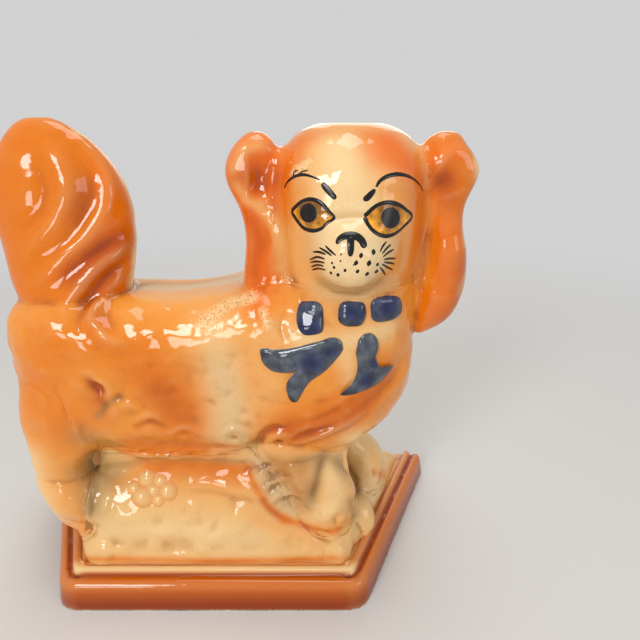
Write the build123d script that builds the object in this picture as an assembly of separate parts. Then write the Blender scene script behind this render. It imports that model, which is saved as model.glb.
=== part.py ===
from build123d import *

import math
import os
from functools import cache

# A standing toy dog in slip-cast earthenware, on a stepped plinth, facing +X with its head turned to -Y.
# Millimetres. The origin is the centre of the underside, +Z is up and -Y is the decorated front.
# Right and left are the dog's own: its right side is at -Y, and the ear nearest its tail is the right one.
# Each solid is one casting or sprig, cut so that it meets its neighbours face to face where slip luted them.

# Driving sizes of the plinth
base_length = 268.0
base_front_length = 162.0
base_depth = 113.0
band_height = 16.5
band_draft = 1.8
band_round = 4.6
front_corner_radius = 13.0
rear_corner_radius = 2.5
groove_inset = 6.5
groove_width = 2.4
groove_depth = 2.2
bead_height = 18.5
bead_width = 4.4
bead_round = 1.6
round_steps = 6
deck_height = 15.0
deck_thickness = 4.0
plinth_wall = 6.0
slab_thickness = 4.0
foot_recess = 2.5
casting_hole_diameter = 22.0

# Driving sizes of the castings
casting_wall = 4.5
vent_diameter = 3.5
overrun = 2.0

mound_rim = 16.0
mound_back_rim = 7.0
mound_low_height = 18.0
bank_length = 122.0
bank_depth = 76.0
bank_height = 73.0
bank_centre_x = -12.0
bank_corner = 14.0

torso_length = 208.0
torso_front = 106.0
torso_depth = 80.0
torso_height = 96.0
torso_centre_height = 124.0

neck_width = 69.0
neck_depth = 66.0
neck_top = 172.0
neck_bottom = 122.0
neck_centre_x = 70.5
neck_centre_y = -5.0

head_width = 68.0
head_depth = 72.0
head_height = 68.0
head_centre_x = 71.0
head_centre_y = -6.0
muzzle_width = 40.0
muzzle_depth = 24.0
muzzle_height = 31.0
muzzle_out = 33.0
muzzle_up = 18.0

ear_width = 26.2
ear_thickness = 22.0
ear_top = 236.8
ear_centre_y = -11.0
right_ear_length = 90.0
right_ear_x = 28.2
left_ear_length = 95.5
left_ear_x = 115.5

tail_height = 99.0
tail_top = 243.0
tail_width = 66.0
tail_thickness = 38.0
tail_centre_x = -66.5

leg_length = 70.0
paw_sink = 3.0
right_foreleg_width = 30.0
right_foreleg_depth = 27.0
right_foreleg_x = 60.0
right_foreleg_y = -23.5
left_foreleg_width = 26.0
left_foreleg_depth = 25.0
left_foreleg_x = 84.0
left_foreleg_y = 10.0
hindleg_length = 100.0
hindleg_width = 30.0
hindleg_depth = 26.0
right_hindleg_x = -76.0
right_hindleg_y = -22.0
left_hindleg_x = -88.0
left_hindleg_y = 18.0
toe_diameter = 11.5
toe_spacing = 8.2

stud_thickness = 3.0
stud_height = 12.4
stud_width = 12.2
stud_corner = 3.8
first_stud_extra = 3.6
ribbon_thickness = 2.6
right_ribbon_length = 40.0
right_ribbon_height = 33.0
right_ribbon_x = 27.8
right_ribbon_z = 117.5
left_ribbon_length = 25.4
left_ribbon_height = 33.0
left_ribbon_x = 65.3
left_ribbon_z = 121.5
rosette_width = 17.0
rosette_depth = 12.0
rosette_petal_diameter = 7.5
rosette_petals = 5
rosette_x = -33.0
rosette_y = -33.0
rosette_z = 61.0

# Tables of shares, chosen by eye, of the sizes above
# Collar studs: place along the neck's width, height above the neck's foot.
stud_shares = ((-0.254, 0.786), (0.007, 0.824), (0.220, 0.868))
# Torso: place along the length from the rump, half depth, half height, rise of the centre.
torso_corner_share = 0.62
torso_shares = (
    (0.005, 0.25, 0.29, 0.060),
    (0.024, 0.47, 0.52, 0.050),
    (0.067, 0.68, 0.71, 0.030),
    (0.144, 0.83, 0.84, 0.000),
    (0.274, 0.88, 0.880, -0.035),
    (0.418, 0.86, 0.860, -0.040),
    (0.562, 0.89, 0.900, -0.010),
    (0.707, 0.96, 0.945, 0.010),
    (0.827, 0.98, 0.940, 0.015),
    (0.904, 0.86, 0.800, 0.055),
    (0.952, 0.68, 0.620, 0.070),
    (0.983, 0.43, 0.400, 0.065),
    (0.997, 0.20, 0.200, 0.060),
)
# Neck: height, half width, half depth.
neck_shares = (
    (0.00, 0.90, 0.92),
    (0.35, 0.96, 0.98),
    (0.75, 1.00, 1.00),
    (1.00, 0.96, 0.96),
)
# Head: height, half width, half depth.
head_shares = (
    (0.00, 0.92, 0.80),
    (0.10, 0.97, 0.90),
    (0.26, 1.00, 0.98),
    (0.46, 1.00, 1.00),
    (0.66, 1.00, 0.95),
    (0.80, 0.95, 0.84),
    (0.88, 0.85, 0.73),
    (0.94, 0.71, 0.60),
    (0.98, 0.55, 0.47),
    (1.00, 0.42, 0.36),
)
# Ears: drop from the top, shift of the centre in widths, half width, half thickness.
right_ear_shares = (
    (0.00, 0.03, 0.20, 0.18),
    (0.03, 0.04, 0.50, 0.46),
    (0.09, 0.02, 0.82, 0.72),
    (0.18, 0.00, 1.00, 0.90),
    (0.29, 0.04, 0.91, 0.88),
    (0.40, 0.11, 0.78, 0.88),
    (0.55, 0.16, 0.79, 0.96),
    (0.75, 0.07, 0.76, 1.00),
    (0.88, 0.01, 0.54, 0.78),
    (0.96, 0.00, 0.28, 0.42),
    (1.00, 0.00, 0.10, 0.16),
)
left_ear_shares = (
    (0.00, -0.13, 0.20, 0.18),
    (0.03, -0.14, 0.58, 0.46),
    (0.09, -0.14, 0.90, 0.72),
    (0.16, -0.05, 1.00, 0.90),
    (0.24, -0.01, 0.86, 0.88),
    (0.35, -0.05, 0.70, 0.88),
    (0.52, 0.03, 0.73, 0.96),
    (0.66, 0.05, 0.80, 1.00),
    (0.79, -0.02, 0.83, 0.96),
    (0.89, -0.12, 0.72, 0.80),
    (0.96, -0.25, 0.42, 0.48),
    (1.00, -0.30, 0.12, 0.16),
)
# Tail: height, half width, half thickness, shift in X in widths, shift in Y in thicknesses.
tail_shares = (
    (0.00, 0.70, 0.70, 0.03, -0.26),
    (0.15, 0.80, 0.88, 0.02, -0.18),
    (0.30, 0.92, 1.00, 0.01, -0.08),
    (0.46, 0.99, 0.96, 0.01, -0.02),
    (0.62, 1.00, 0.86, 0.00, 0.00),
    (0.77, 0.87, 0.72, -0.01, 0.00),
    (0.885, 0.64, 0.52, -0.03, 0.00),
    (0.960, 0.39, 0.32, -0.05, 0.00),
    (0.995, 0.15, 0.12, -0.06, 0.00),
)
# Legs, paw first: height, half width, half depth, shift in X in widths, shift inwards in Y in depths.
right_foreleg_shares = (
    (0.00, 0.80, 0.84, 0.00, 0.00),
    (0.08, 0.96, 0.98, 0.00, 0.00),
    (0.20, 1.02, 1.02, 0.00, 0.00),
    (0.33, 1.06, 1.00, -0.04, 0.00),
    (0.46, 1.14, 0.97, -0.16, 0.03),
    (0.62, 1.42, 0.96, -0.33, 0.06),
    (0.80, 1.76, 0.98, -0.45, 0.12),
    (1.00, 1.60, 0.96, -0.38, 0.26),
)
left_foreleg_shares = (
    (0.00, 0.84, 0.86, 0.00, 0.00),
    (0.08, 0.98, 0.98, 0.00, 0.00),
    (0.20, 1.02, 1.00, -0.02, 0.00),
    (0.32, 1.06, 1.00, -0.08, 0.00),
    (0.42, 1.02, 0.96, -0.22, 0.00),
    (0.50, 0.86, 0.90, -0.40, 0.00),
    (0.64, 0.80, 0.88, -0.56, 0.00),
    (0.80, 0.90, 0.92, -0.66, 0.00),
    (1.00, 1.00, 0.96, -0.72, 0.06),
)
hindleg_shares = (
    (0.00, 0.84, 0.86, 0.00, 0.00),
    (0.06, 0.98, 0.98, 0.00, 0.00),
    (0.14, 1.04, 1.00, -0.02, 0.00),
    (0.22, 1.02, 0.98, -0.10, 0.00),
    (0.31, 0.94, 0.96, -0.20, 0.00),
    (0.44, 1.06, 1.02, -0.16, 0.00),
    (0.62, 1.42, 1.12, 0.00, 0.02),
    (0.80, 1.50, 1.12, 0.08, 0.06),
    (0.93, 1.16, 0.92, 0.10, 0.12),
    (1.00, 0.60, 0.50, 0.10, 0.16),
)
# Toes, in diameters: the middle one's reach past the paw, height above the foot, the others' step back.
toe_reach_share = 0.18
toe_rise_share = 0.62
toe_step_share = 0.18
# Low ground: height, inset of the outline in rims.
table_shares = ((0.00, 1.00), (0.50, 1.12), (0.84, 1.36), (1.00, 1.80))
# Bank under the belly: height, half length, half depth.
bank_shares = (
    (0.00, 1.00, 1.00),
    (0.30, 0.99, 0.97),
    (0.52, 0.95, 0.88),
    (0.66, 0.90, 0.76),
    (1.00, 0.88, 0.72),
)
# Boulders of the low ground: place in X and Y in base lengths and depths, diameter in bank depths.
boulder_shares = (
    (0.325, -0.17, 0.44),
    (0.365, 0.08, 0.42),
    (0.185, -0.22, 0.40),
    (-0.315, -0.06, 0.50),
    (-0.350, 0.20, 0.46),
    (0.290, 0.26, 0.48),
)
# Outlines of the two ribbon ends, from the lower left corner of their box.
right_ribbon_shares = (
    (0.00, 0.84),
    (0.05, 0.88),
    (0.38, 0.86),
    (0.65, 0.90),
    (0.89, 1.00),
    (1.00, 0.90),
    (0.95, 0.75),
    (0.59, 0.39),
    (0.45, 0.22),
    (0.36, 0.00),
    (0.27, 0.16),
    (0.37, 0.53),
    (0.12, 0.59),
)
left_ribbon_shares = (
    (0.37, 0.92),
    (0.51, 1.00),
    (0.66, 0.93),
    (0.71, 0.68),
    (0.78, 0.48),
    (1.00, 0.50),
    (0.86, 0.33),
    (0.56, 0.19),
    (0.05, 0.00),
    (0.28, 0.31),
    (0.33, 0.70),
)


# Shared shapes
def standing_loft(sections):
    """A smooth solid through oval sections that lie flat: (z, centre x, centre y, half x, half y)."""
    return loft([Pos(x, y, z) * Ellipse(half_x, half_y) for z, x, y, half_x, half_y in sections])


def ball(centre, size_x, size_y, size_z):
    """An egg shape of three named sizes about centre, its seam turned to -X."""
    unit = Rot(0, 0, 180) * Sphere(1.0)
    return Pos(*centre) * scale(unit, by=(size_x / 2, size_y / 2, size_z / 2))


def vent(x, y, low, high):
    """The upright hole that lets one hollow breathe into the next while it is fired."""
    return Pos(x, y, (low + high) / 2) * Cylinder(vent_diameter / 2, high - low)


def kept(shape):
    """The largest solid of a cut shape: a sliver left beside it is clay that the maker wipes away."""
    return Part() + max(shape.solids(), key=lambda solid: solid.volume)


# Plinth
def plinth_outline(inset, rear_inset):
    """The plinth's plan, drawn in by inset at its front and ends and by rear_inset at its flat back."""
    flare = (base_length - base_front_length) / 2 / base_depth
    slant = math.sqrt(1 + flare**2)
    low = -base_depth / 2 + inset
    high = base_depth / 2 - rear_inset
    low_half = base_front_length / 2 + flare * (low + base_depth / 2) - inset * slant
    high_half = base_front_length / 2 + flare * (high + base_depth / 2) - inset * slant
    corners = ((-low_half, low), (low_half, low), (high_half, high), (-high_half, high))
    plan = make_face(Polyline(*corners, close=True))
    plan = fillet(plan.vertices().sort_by(Axis.Y)[:2], front_corner_radius - inset / 3)
    return fillet(plan.vertices().sort_by(Axis.Y)[-2:], rear_corner_radius)


def moulding(inset, low, high, draft, radius):
    """A band from low to high whose front and ends lean in by draft and are rounded off at the top."""
    outlines = [Pos(0, 0, low) * plinth_outline(inset, 0)]
    for step in range(round_steps + 1):
        turn = math.pi / 2 * step / round_steps
        leant = Pos(0, 0, high - radius * (1 - math.sin(turn)))
        outlines.append(leant * plinth_outline(inset + draft + radius * (1 - math.cos(turn)), 0))
    return loft(outlines, ruled=True)


def plinth():
    """The stepped plinth casting: a drafted band, a groove, a bead and the deck, open underneath."""
    band = moulding(0, 0, band_height, band_draft, band_round)
    groove_floor = band_height - groove_depth
    bead_inset = groove_inset + groove_width
    groove = Pos(0, 0, groove_floor) * extrude(plinth_outline(groove_inset, -2 * overrun), bead_height)
    bead = moulding(bead_inset, groove_floor, bead_height, 0, bead_round)
    inside_bead = plinth_outline(bead_inset + bead_width, -2 * overrun)
    sunk = Pos(0, 0, deck_height) * extrude(inside_bead, bead_height)
    hollow = extrude(plinth_outline(plinth_wall, plinth_wall), deck_height - deck_thickness)
    return kept(band - groove + bead - sunk - hollow - air_holes())


def base_slab():
    """The underside slab, luted inside the foot, with the round casting hole that drained the mould."""
    plan = Pos(0, 0, foot_recess) * plinth_outline(plinth_wall, plinth_wall)
    hole = Pos(0, 0, foot_recess) * Cylinder(casting_hole_diameter / 2, 4 * slab_thickness)
    return kept(extrude(plan, slab_thickness) - hole)


# Castings as solid clay forms, which the neighbours are cut by
@cache
def torso_form(grow):
    """The barrel, rump and chest without the neck, grown by grow all round."""
    sections = []
    for along, half_depth, half_height, rise in torso_shares:
        deep = torso_depth / 2 * half_depth + grow
        tall = torso_height / 2 * half_height + grow
        if min(deep, tall) > casting_wall:
            x = torso_front - torso_length * (1 - along) + grow * (2 * along - 1)
            centre = (x, 0, torso_centre_height + torso_height * rise)
            plane = Plane(origin=centre, x_dir=(0, 1, 0), z_dir=(1, 0, 0))
            corner = min(deep, tall) * torso_corner_share
            sections.append(plane * RectangleRounded(2 * deep, 2 * tall, corner))
    return loft(sections)


@cache
def neck_form(grow):
    """The upright neck and ruff that carries the head."""
    sections = []
    for up, half_width, half_depth in neck_shares:
        z = neck_bottom + (neck_top + grow - neck_bottom) * up
        wide = neck_width / 2 * half_width + grow
        deep = neck_depth / 2 * half_depth + grow
        sections.append((z, neck_centre_x, neck_centre_y, wide, deep))
    return standing_loft(sections)


@cache
def torso_outside(grow):
    """Torso and neck as one clay form."""
    return torso_form(grow) + neck_form(grow)


@cache
def skull_form(grow):
    """The skull, nearly flat on top as the mould left it."""
    middle = neck_top + head_height / 2
    sections = []
    for up, half_width, half_depth in head_shares:
        z = middle + (head_height / 2 + grow) * (2 * up - 1)
        wide = head_width / 2 * half_width + grow
        deep = head_depth / 2 * half_depth + grow
        sections.append((z, head_centre_x, head_centre_y, wide, deep))
    return standing_loft(sections)


@cache
def head_outside():
    """Skull and muzzle as one clay form."""
    nose = (head_centre_x, head_centre_y - muzzle_out, neck_top + muzzle_up)
    return skull_form(0) + ball(nose, muzzle_width, muzzle_depth, muzzle_height)


def ear_form(shares, length, x):
    """One hanging ear with its raised upper lobe."""
    sections = []
    for drop, shift, half_width, half_thick in reversed(shares):
        centre_x = x + ear_width * shift
        wide = ear_width / 2 * half_width
        thick = ear_thickness / 2 * half_thick
        sections.append((ear_top - length * drop, centre_x, ear_centre_y, wide, thick))
    return standing_loft(sections)


@cache
def tail_form(grow):
    """The raised plume of the tail, rooted on the near flank."""
    sections = []
    for up, half_width, half_thick, shift_x, shift_y in tail_shares:
        z = tail_top - tail_height * (1 - up) + grow * up
        wide = tail_width / 2 * half_width + grow
        thick = tail_thickness / 2 * half_thick + grow
        if min(wide, thick) > vent_diameter / 2:
            centre_x = tail_centre_x + tail_width * shift_x
            sections.append((z, centre_x, tail_thickness * shift_y, wide, thick))
    return standing_loft(sections)


def leg_form(shares, length, width, depth, x, y):
    """One leg with its paw and three toes. The shares' shift in Y leads from y towards the middle."""
    foot = deck_height + mound_low_height - paw_sink
    inwards = -math.copysign(depth, y)
    sections = []
    for up, half_width, half_depth, shift_x, shift_y in shares:
        centre_x = x + width * shift_x
        centre_y = y + inwards * shift_y
        wide = width / 2 * half_width
        deep = depth / 2 * half_depth
        sections.append((foot + length * up, centre_x, centre_y, wide, deep))
    toe_z = foot + toe_diameter * toe_rise_share
    toes = []
    for count in (-1, 0, 1):
        reach = toe_diameter * (toe_reach_share - toe_step_share * abs(count))
        toe_x = x + (width - toe_diameter) / 2 + reach
        toes.append(Pos(toe_x, y + toe_spacing * count, toe_z) * Sphere(toe_diameter / 2))
    return standing_loft(sections) + toes


@cache
def leg_forms():
    """The four legs by name."""
    sizes = {
        "right_foreleg": (right_foreleg_shares, leg_length, right_foreleg_width, right_foreleg_depth),
        "left_foreleg": (left_foreleg_shares, leg_length, left_foreleg_width, left_foreleg_depth),
        "right_hindleg": (hindleg_shares, hindleg_length, hindleg_width, hindleg_depth),
        "left_hindleg": (hindleg_shares, hindleg_length, hindleg_width, hindleg_depth),
    }
    places = {
        "right_foreleg": (right_foreleg_x, right_foreleg_y),
        "left_foreleg": (left_foreleg_x, left_foreleg_y),
        "right_hindleg": (right_hindleg_x, right_hindleg_y),
        "left_hindleg": (left_hindleg_x, left_hindleg_y),
    }
    return {name: leg_form(*sizes[name], *places[name]) for name in sizes}


@cache
def mound_form(grow):
    """The rocky ground: low ground inside the bead, and the bank under the belly."""
    outlines = []
    for up, rims in table_shares:
        outline = plinth_outline(mound_rim * rims - grow, mound_back_rim * rims - grow)
        outlines.append(Pos(0, 0, (mound_low_height + grow) * up) * outline)
    sections = []
    for up, half_length, half_depth in bank_shares:
        long = bank_length * half_length + 2 * grow
        deep = bank_depth * half_depth + 2 * grow
        level = (bank_height + grow) * up
        sections.append(Pos(bank_centre_x, 0, level) * RectangleRounded(long, deep, bank_corner))
    return Pos(0, 0, deck_height) * (loft(outlines) + loft(sections))


@cache
def air_holes():
    """Every vent between two hollows, and the one from the mound to the plinth."""
    floor_level = torso_centre_height - torso_height / 2
    lid = neck_top - casting_wall
    holes = vent(0, 0, deck_height - deck_thickness - overrun, deck_height + casting_wall + overrun)
    holes += vent(bank_centre_x, 0, floor_level - 2 * overrun, floor_level + 3 * casting_wall)
    holes += vent(neck_centre_x, neck_centre_y, lid - overrun, neck_top + casting_wall + overrun)
    rump_top = torso_centre_height + torso_height / 2
    return holes + vent(tail_centre_x, 0, rump_top - 3 * casting_wall, rump_top + 2 * casting_wall)


# Finished pieces
def torso():
    """The hollow body casting with its neck."""
    return kept(torso_outside(0) - torso_outside(-casting_wall) - air_holes())


def head():
    """The hollow head casting with its muzzle, luted on the neck."""
    return kept(head_outside() - torso_outside(0) - skull_form(-casting_wall) - air_holes())


def ear(shares, length, x):
    """An ear, cut where it is luted to the skull and the neck."""
    return kept(ear_form(shares, length, x) - head_outside() - torso_outside(0))


def tail():
    """The hollow tail, cut where it stands on the rump."""
    hollow = tail_form(-casting_wall) - torso_form(casting_wall)
    return kept(tail_form(0) - torso_outside(0) - hollow - air_holes())


def leg(name):
    """A solid leg, cut where it is luted under the body."""
    return kept(leg_forms()[name] - torso_outside(0))


def mound():
    """The hollow mound casting, cut to the body and the four paws that are luted into it."""
    floor = Pos(0, 0, deck_height) * Box(base_length, base_depth, 2 * casting_wall)
    hollow = mound_form(-casting_wall) - floor - torso_outside(casting_wall)
    inside_bead = Pos(0, 0, deck_height) * extrude(plinth_outline(mound_rim, mound_back_rim), bank_height)
    boulders = []
    for across, back, share in boulder_shares:
        size = bank_depth * share
        place = (base_length * across, base_depth * back, deck_height + mound_low_height - size / 3)
        boulders.append(Pos(*place) * Sphere(size / 2) & inside_bead)
    casting = mound_form(0) + boulders
    casting -= torso_outside(0)
    for form in leg_forms().values():
        casting -= form
    return kept(casting - hollow - air_holes())


def sprig(outline, thickness):
    """A thin pad with this outline, seen from the front, laid on the chest and neck."""
    bar = extrude(Plane.XZ * outline, base_depth)
    return kept((bar & torso_outside(thickness)) - torso_outside(0))


def collar_stud(number):
    """One of the pillow-shaped studs of the ribbon collar, the first a little taller."""
    across, up = stud_shares[number]
    height = stud_height + (first_stud_extra if number == 0 else 0)
    plan = RectangleRounded(stud_width, height, stud_corner)
    x = neck_centre_x + neck_width * across
    return sprig(Pos(x, neck_bottom + (neck_top - neck_bottom) * up) * plan, stud_thickness)


def ribbon_end(shares, length, height, x, z):
    """One forked ribbon end."""
    points = [(x + length * across, z + height * up) for across, up in shares]
    return sprig(make_face(Spline(*points, periodic=True)), ribbon_thickness)


def rosette():
    """The small rosette pressed on the bank: domed petals round a button, down to the bank's face."""
    ring = (rosette_width - rosette_petal_diameter) / 2
    places = [(rosette_x, rosette_z)]
    for number in range(rosette_petals):
        turn = 2 * math.pi * number / rosette_petals
        places.append((rosette_x + ring * math.cos(turn), rosette_z + ring * math.sin(turn)))
    flower = []
    for x, z in places:
        root = Pos(x, rosette_y + rosette_depth / 2, z) * Rot(90, 0, 0)
        flower.append(root * Cylinder(rosette_petal_diameter / 2, rosette_depth))
        flower.append(Pos(x, rosette_y, z) * Sphere(rosette_petal_diameter / 2))
    return kept(Part() + flower - mound_form(0) - torso_outside(0))


pieces = {
    "plinth": plinth(),
    "base_slab": base_slab(),
    "mound": mound(),
    "torso": torso(),
    "head": head(),
    "right_ear": ear(right_ear_shares, right_ear_length, right_ear_x),
    "left_ear": ear(left_ear_shares, left_ear_length, left_ear_x),
    "tail": tail(),
    "right_foreleg": leg("right_foreleg"),
    "left_foreleg": leg("left_foreleg"),
    "right_hindleg": leg("right_hindleg"),
    "left_hindleg": leg("left_hindleg"),
    "collar_stud_1": collar_stud(0),
    "collar_stud_2": collar_stud(1),
    "collar_stud_3": collar_stud(2),
    "right_ribbon_end": ribbon_end(
        right_ribbon_shares, right_ribbon_length, right_ribbon_height, right_ribbon_x, right_ribbon_z
    ),
    "left_ribbon_end": ribbon_end(
        left_ribbon_shares, left_ribbon_length, left_ribbon_height, left_ribbon_x, left_ribbon_z
    ),
    "ground_rosette": rosette(),
}

os.makedirs("parts", exist_ok=True)
for name, piece in pieces.items():
    export_step(piece, f"parts/{name}.step")
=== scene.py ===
"""A slip-cast, airbrushed and glazed figure of a standing toy dog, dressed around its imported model."""

import logging
import math
from dataclasses import dataclass, field
from enum import Enum

import bmesh
import bpy
import numpy as np
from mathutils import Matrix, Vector, noise
from mathutils.bvhtree import BVHTree


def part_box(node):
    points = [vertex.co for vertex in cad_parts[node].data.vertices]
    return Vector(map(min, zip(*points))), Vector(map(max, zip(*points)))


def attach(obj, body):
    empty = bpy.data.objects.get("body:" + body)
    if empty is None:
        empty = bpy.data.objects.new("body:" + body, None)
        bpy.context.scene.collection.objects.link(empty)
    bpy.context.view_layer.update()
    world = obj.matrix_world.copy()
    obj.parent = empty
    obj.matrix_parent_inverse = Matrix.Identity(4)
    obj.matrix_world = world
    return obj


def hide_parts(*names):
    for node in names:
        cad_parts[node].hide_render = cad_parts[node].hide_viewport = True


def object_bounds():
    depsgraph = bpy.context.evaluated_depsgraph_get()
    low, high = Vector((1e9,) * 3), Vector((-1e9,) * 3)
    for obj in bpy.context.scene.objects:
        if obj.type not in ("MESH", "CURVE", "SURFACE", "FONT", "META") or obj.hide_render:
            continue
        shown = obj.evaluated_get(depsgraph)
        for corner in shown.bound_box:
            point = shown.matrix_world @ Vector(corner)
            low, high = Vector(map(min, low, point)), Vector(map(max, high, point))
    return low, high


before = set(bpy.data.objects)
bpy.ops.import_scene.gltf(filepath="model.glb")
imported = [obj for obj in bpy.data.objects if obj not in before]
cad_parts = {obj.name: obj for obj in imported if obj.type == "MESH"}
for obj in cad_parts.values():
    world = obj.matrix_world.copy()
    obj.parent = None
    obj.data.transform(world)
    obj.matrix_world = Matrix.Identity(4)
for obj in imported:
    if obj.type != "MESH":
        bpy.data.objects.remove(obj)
CAD_BOX = [list(corner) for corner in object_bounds()]

LOG = logging.getLogger("dog_figure")
MM = 0.001
ROOT = "root"
# Keeps a division away from zero.
TINY = 1e-9
# A path or an outline: its points, of two or three numbers each.
Points = tuple[tuple[float, ...], ...]


class Place(Enum):
    """How a stroke's points are given."""

    PHOTO = "pixels of the photograph"
    FIGURE = "millimetres in the figure's own frame"


class Profile(Enum):
    """How the clay is pushed across a stroke."""

    ROUND = "the same to both sides"
    STEP = "raised on the left of the stroke and cut on its right, as one lock of hair over the next"


class Tone(Enum):
    """Colours of slip, spray and enamel, as sRGB hex."""

    CREAM = "F0C88C"
    PALE_CREAM = "F6D8A4"
    BACK_CREAM = "E8CB98"
    # A greyed cream, laid as painted shade on the muzzle and under the chin, and elsewhere as a greyer cream.
    SMOKED_CREAM = "CDB488"
    GROUND_CREAM = "E8B977"
    PEACH = "ECAB62"
    APRICOT = "EA9436"
    ORANGE = "DF7400"
    BRIGHT_ORANGE = "EC6A00"
    BURNT_ORANGE = "CC6400"
    RUST = "B84A00"
    DARK_RUST = "903200"
    OCHRE = "B57A3A"
    # Olive and shadow are laid mostly as painted shade in creases and recesses; shadow is also the bare clay's real
    # stains.
    OLIVE = "93794A"
    SHADOW = "6E5C40"
    COBALT = "0F1D4C"
    GREY_COBALT = "53595F"
    INK = "0A0C18"
    BLACK = "070504"
    AMBER = "E39A24"
    BURNT_AMBER = "6E3C08"
    UMBER = "1C1006"
    CLAY = "E4CDAE"
    FLOOR = "D6D3CF"


def linear(tone: Tone) -> tuple[float, float, float]:
    """A tone's sRGB hex value as linear red, green and blue.

    Args:
        tone: The colour.

    Returns:
        Its three linear values, by the curve of the sRGB standard.
    """
    shares = [int(tone.value[start:start + 2], 16) / 255 for start in (0, 2, 4)]
    return tuple(s / 12.92 if s <= 0.04045 else ((s + 0.055) / 1.055) ** 2.4 for s in shares)


@dataclass(frozen=True)
class PhotoCamera:
    """The photograph's camera, found from the edges of the plinth."""

    focal_px: float = 481.0
    centre_px: float = 320.0
    tilt_deg: float = 22.0
    place_mm: tuple[float, float, float] = (57.1, -235.3, 238.9)
    sensor_mm: float = 36.0
    clip_m: tuple[float, float] = (0.01, 20.0)

    def ray(self, x: float, y: float) -> tuple[Vector, Vector]:
        """The line of sight of a pixel.

        Args:
            x: Pixels from the photograph's left edge.
            y: Pixels from its top edge.

        Returns:
            The camera's place in millimetres and the unit direction.
        """
        tilt = math.radians(self.tilt_deg)
        right = x - self.centre_px
        below = y - self.centre_px
        along = self.focal_px * math.cos(tilt) - below * math.sin(tilt)
        down = self.focal_px * math.sin(tilt) + below * math.cos(tilt)
        return Vector(self.place_mm), Vector((right, along, -down)).normalized()

    def set_up(self) -> None:
        """Makes it the scene's camera."""
        data = bpy.data.cameras.new("photo_camera")
        data.sensor_width = self.sensor_mm
        data.lens = self.sensor_mm * self.focal_px / (2 * self.centre_px)
        data.clip_start, data.clip_end = self.clip_m
        camera = bpy.data.objects.new("photo_camera", data)
        camera.location = Vector(self.place_mm) * MM
        camera.rotation_euler = (math.radians(90 - self.tilt_deg), 0, 0)
        bpy.context.scene.collection.objects.link(camera)
        bpy.context.scene.camera = camera


CAMERA = PhotoCamera()


@dataclass(frozen=True)
class Stroke:
    """One stroke of a modelling tool, with its half width and depth in millimetres.

    A depth above zero adds clay, and one below zero takes it away.
    """

    points: Points
    width: float
    depth: float
    place: Place = Place.PHOTO
    profile: Profile = Profile.ROUND


@dataclass(frozen=True)
class Spray:
    """One pass of the airbrush with a coloured slip: half width in millimetres and amount from 0 to 1."""

    points: Points
    width: float
    tone: Tone
    amount: float
    place: Place = Place.PHOTO


def curve_through(points: Points, parts: int) -> np.ndarray:
    """A smooth curve through a few points.

    Args:
        points: The points, of two or three numbers each.
        parts: The steps between one point and the next.

    Returns:
        The points along the curve, one row each.
    """
    given = np.array(points, float)
    if len(given) < 2:
        return given
    padded = np.vstack([2 * given[0] - given[1], given, 2 * given[-1] - given[-2]])
    steps = np.linspace(0, 1, parts, endpoint=False)[:, None]
    runs = []
    for a, b, c, d in zip(padded, padded[1:], padded[2:], padded[3:]):
        bend = (c - a) * steps + (2 * a - 5 * b + 4 * c - d) * steps**2 + (3 * b - a - 3 * c + d) * steps**3
        runs.append(b + bend / 2)
    return np.vstack([*runs, given[-1:]])


def deselect() -> None:
    """Leaves nothing selected, because an operator acts on all that is."""
    bpy.ops.object.select_all(action="DESELECT")


def only(piece: bpy.types.Object) -> None:
    """Selects one piece alone and makes it active."""
    deselect()
    piece.select_set(True)
    bpy.context.view_layer.objects.active = piece


def apply_modifier(piece: bpy.types.Object, kind: str, **settings: object) -> None:
    """Adds a modifier with these settings to a piece and applies it.

    Args:
        piece: The piece.
        kind: The modifier's type.
        settings: Its settings by name.
    """
    only(piece)
    modifier = piece.modifiers.new(kind.title(), kind)
    for name, value in settings.items():
        setattr(modifier, name, value)
    bpy.ops.object.modifier_apply(modifier=modifier.name)


def dress(piece: bpy.types.Object, nodes: tuple[str, ...], slot: str | None, *finishes: bpy.types.Material) -> None:
    """Gives a finished piece its materials and its body, and hides the nodes that it stands for.

    Args:
        piece: The finished piece.
        nodes: The CAD nodes that it replaces.
        slot: Not used.
        finishes: Its materials, in order.
    """
    piece.data.materials.clear()
    for finish in finishes:
        piece.data.materials.append(finish)
    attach(piece, ROOT)
    if nodes:
        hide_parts(*nodes)
    LOG.info("%s: %d faces", piece.name, len(piece.data.polygons))


def mesh_piece(name: str, points: np.ndarray, faces: list[list[int]]) -> bpy.types.Object:
    """A new object at the origin with this mesh.

    Args:
        name: Its name.
        points: The vertices in millimetres.
        faces: Lists of vertex numbers.

    Returns:
        The object, shaded smooth.
    """
    data = bpy.data.meshes.new(name)
    data.from_pydata((points * MM).tolist(), [], faces)
    data.shade_smooth()
    piece = bpy.data.objects.new(name, data)
    bpy.context.scene.collection.objects.link(piece)
    return piece


def mesh_arrays(mesh: bpy.types.Mesh, sides: int) -> tuple[np.ndarray, np.ndarray]:
    """A mesh as arrays.

    Args:
        mesh: The mesh.
        sides: How many sides each of its faces has.

    Returns:
        Its vertices in millimetres and the vertex numbers of each face.
    """
    places = np.zeros(len(mesh.vertices) * 3)
    mesh.vertices.foreach_get("co", places)
    corners = np.zeros(len(mesh.loops), np.int64)
    mesh.loops.foreach_get("vertex_index", corners)
    return places.reshape(-1, 3) / MM, corners.reshape(-1, sides)


def neighbour_sums(edges: np.ndarray, values: np.ndarray) -> np.ndarray:
    """The sum of each vertex's neighbours' values.

    Args:
        edges: The edges that join the neighbours, by their two vertex numbers.
        values: A row of numbers for each vertex.

    Returns:
        The sums, a row for each vertex.
    """
    a, b = edges.T
    sums = np.zeros_like(values)
    for axis in range(values.shape[1]):
        sums[:, axis] = np.bincount(a, values[b, axis], len(values))
        sums[:, axis] += np.bincount(b, values[a, axis], len(values))
    return sums


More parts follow.
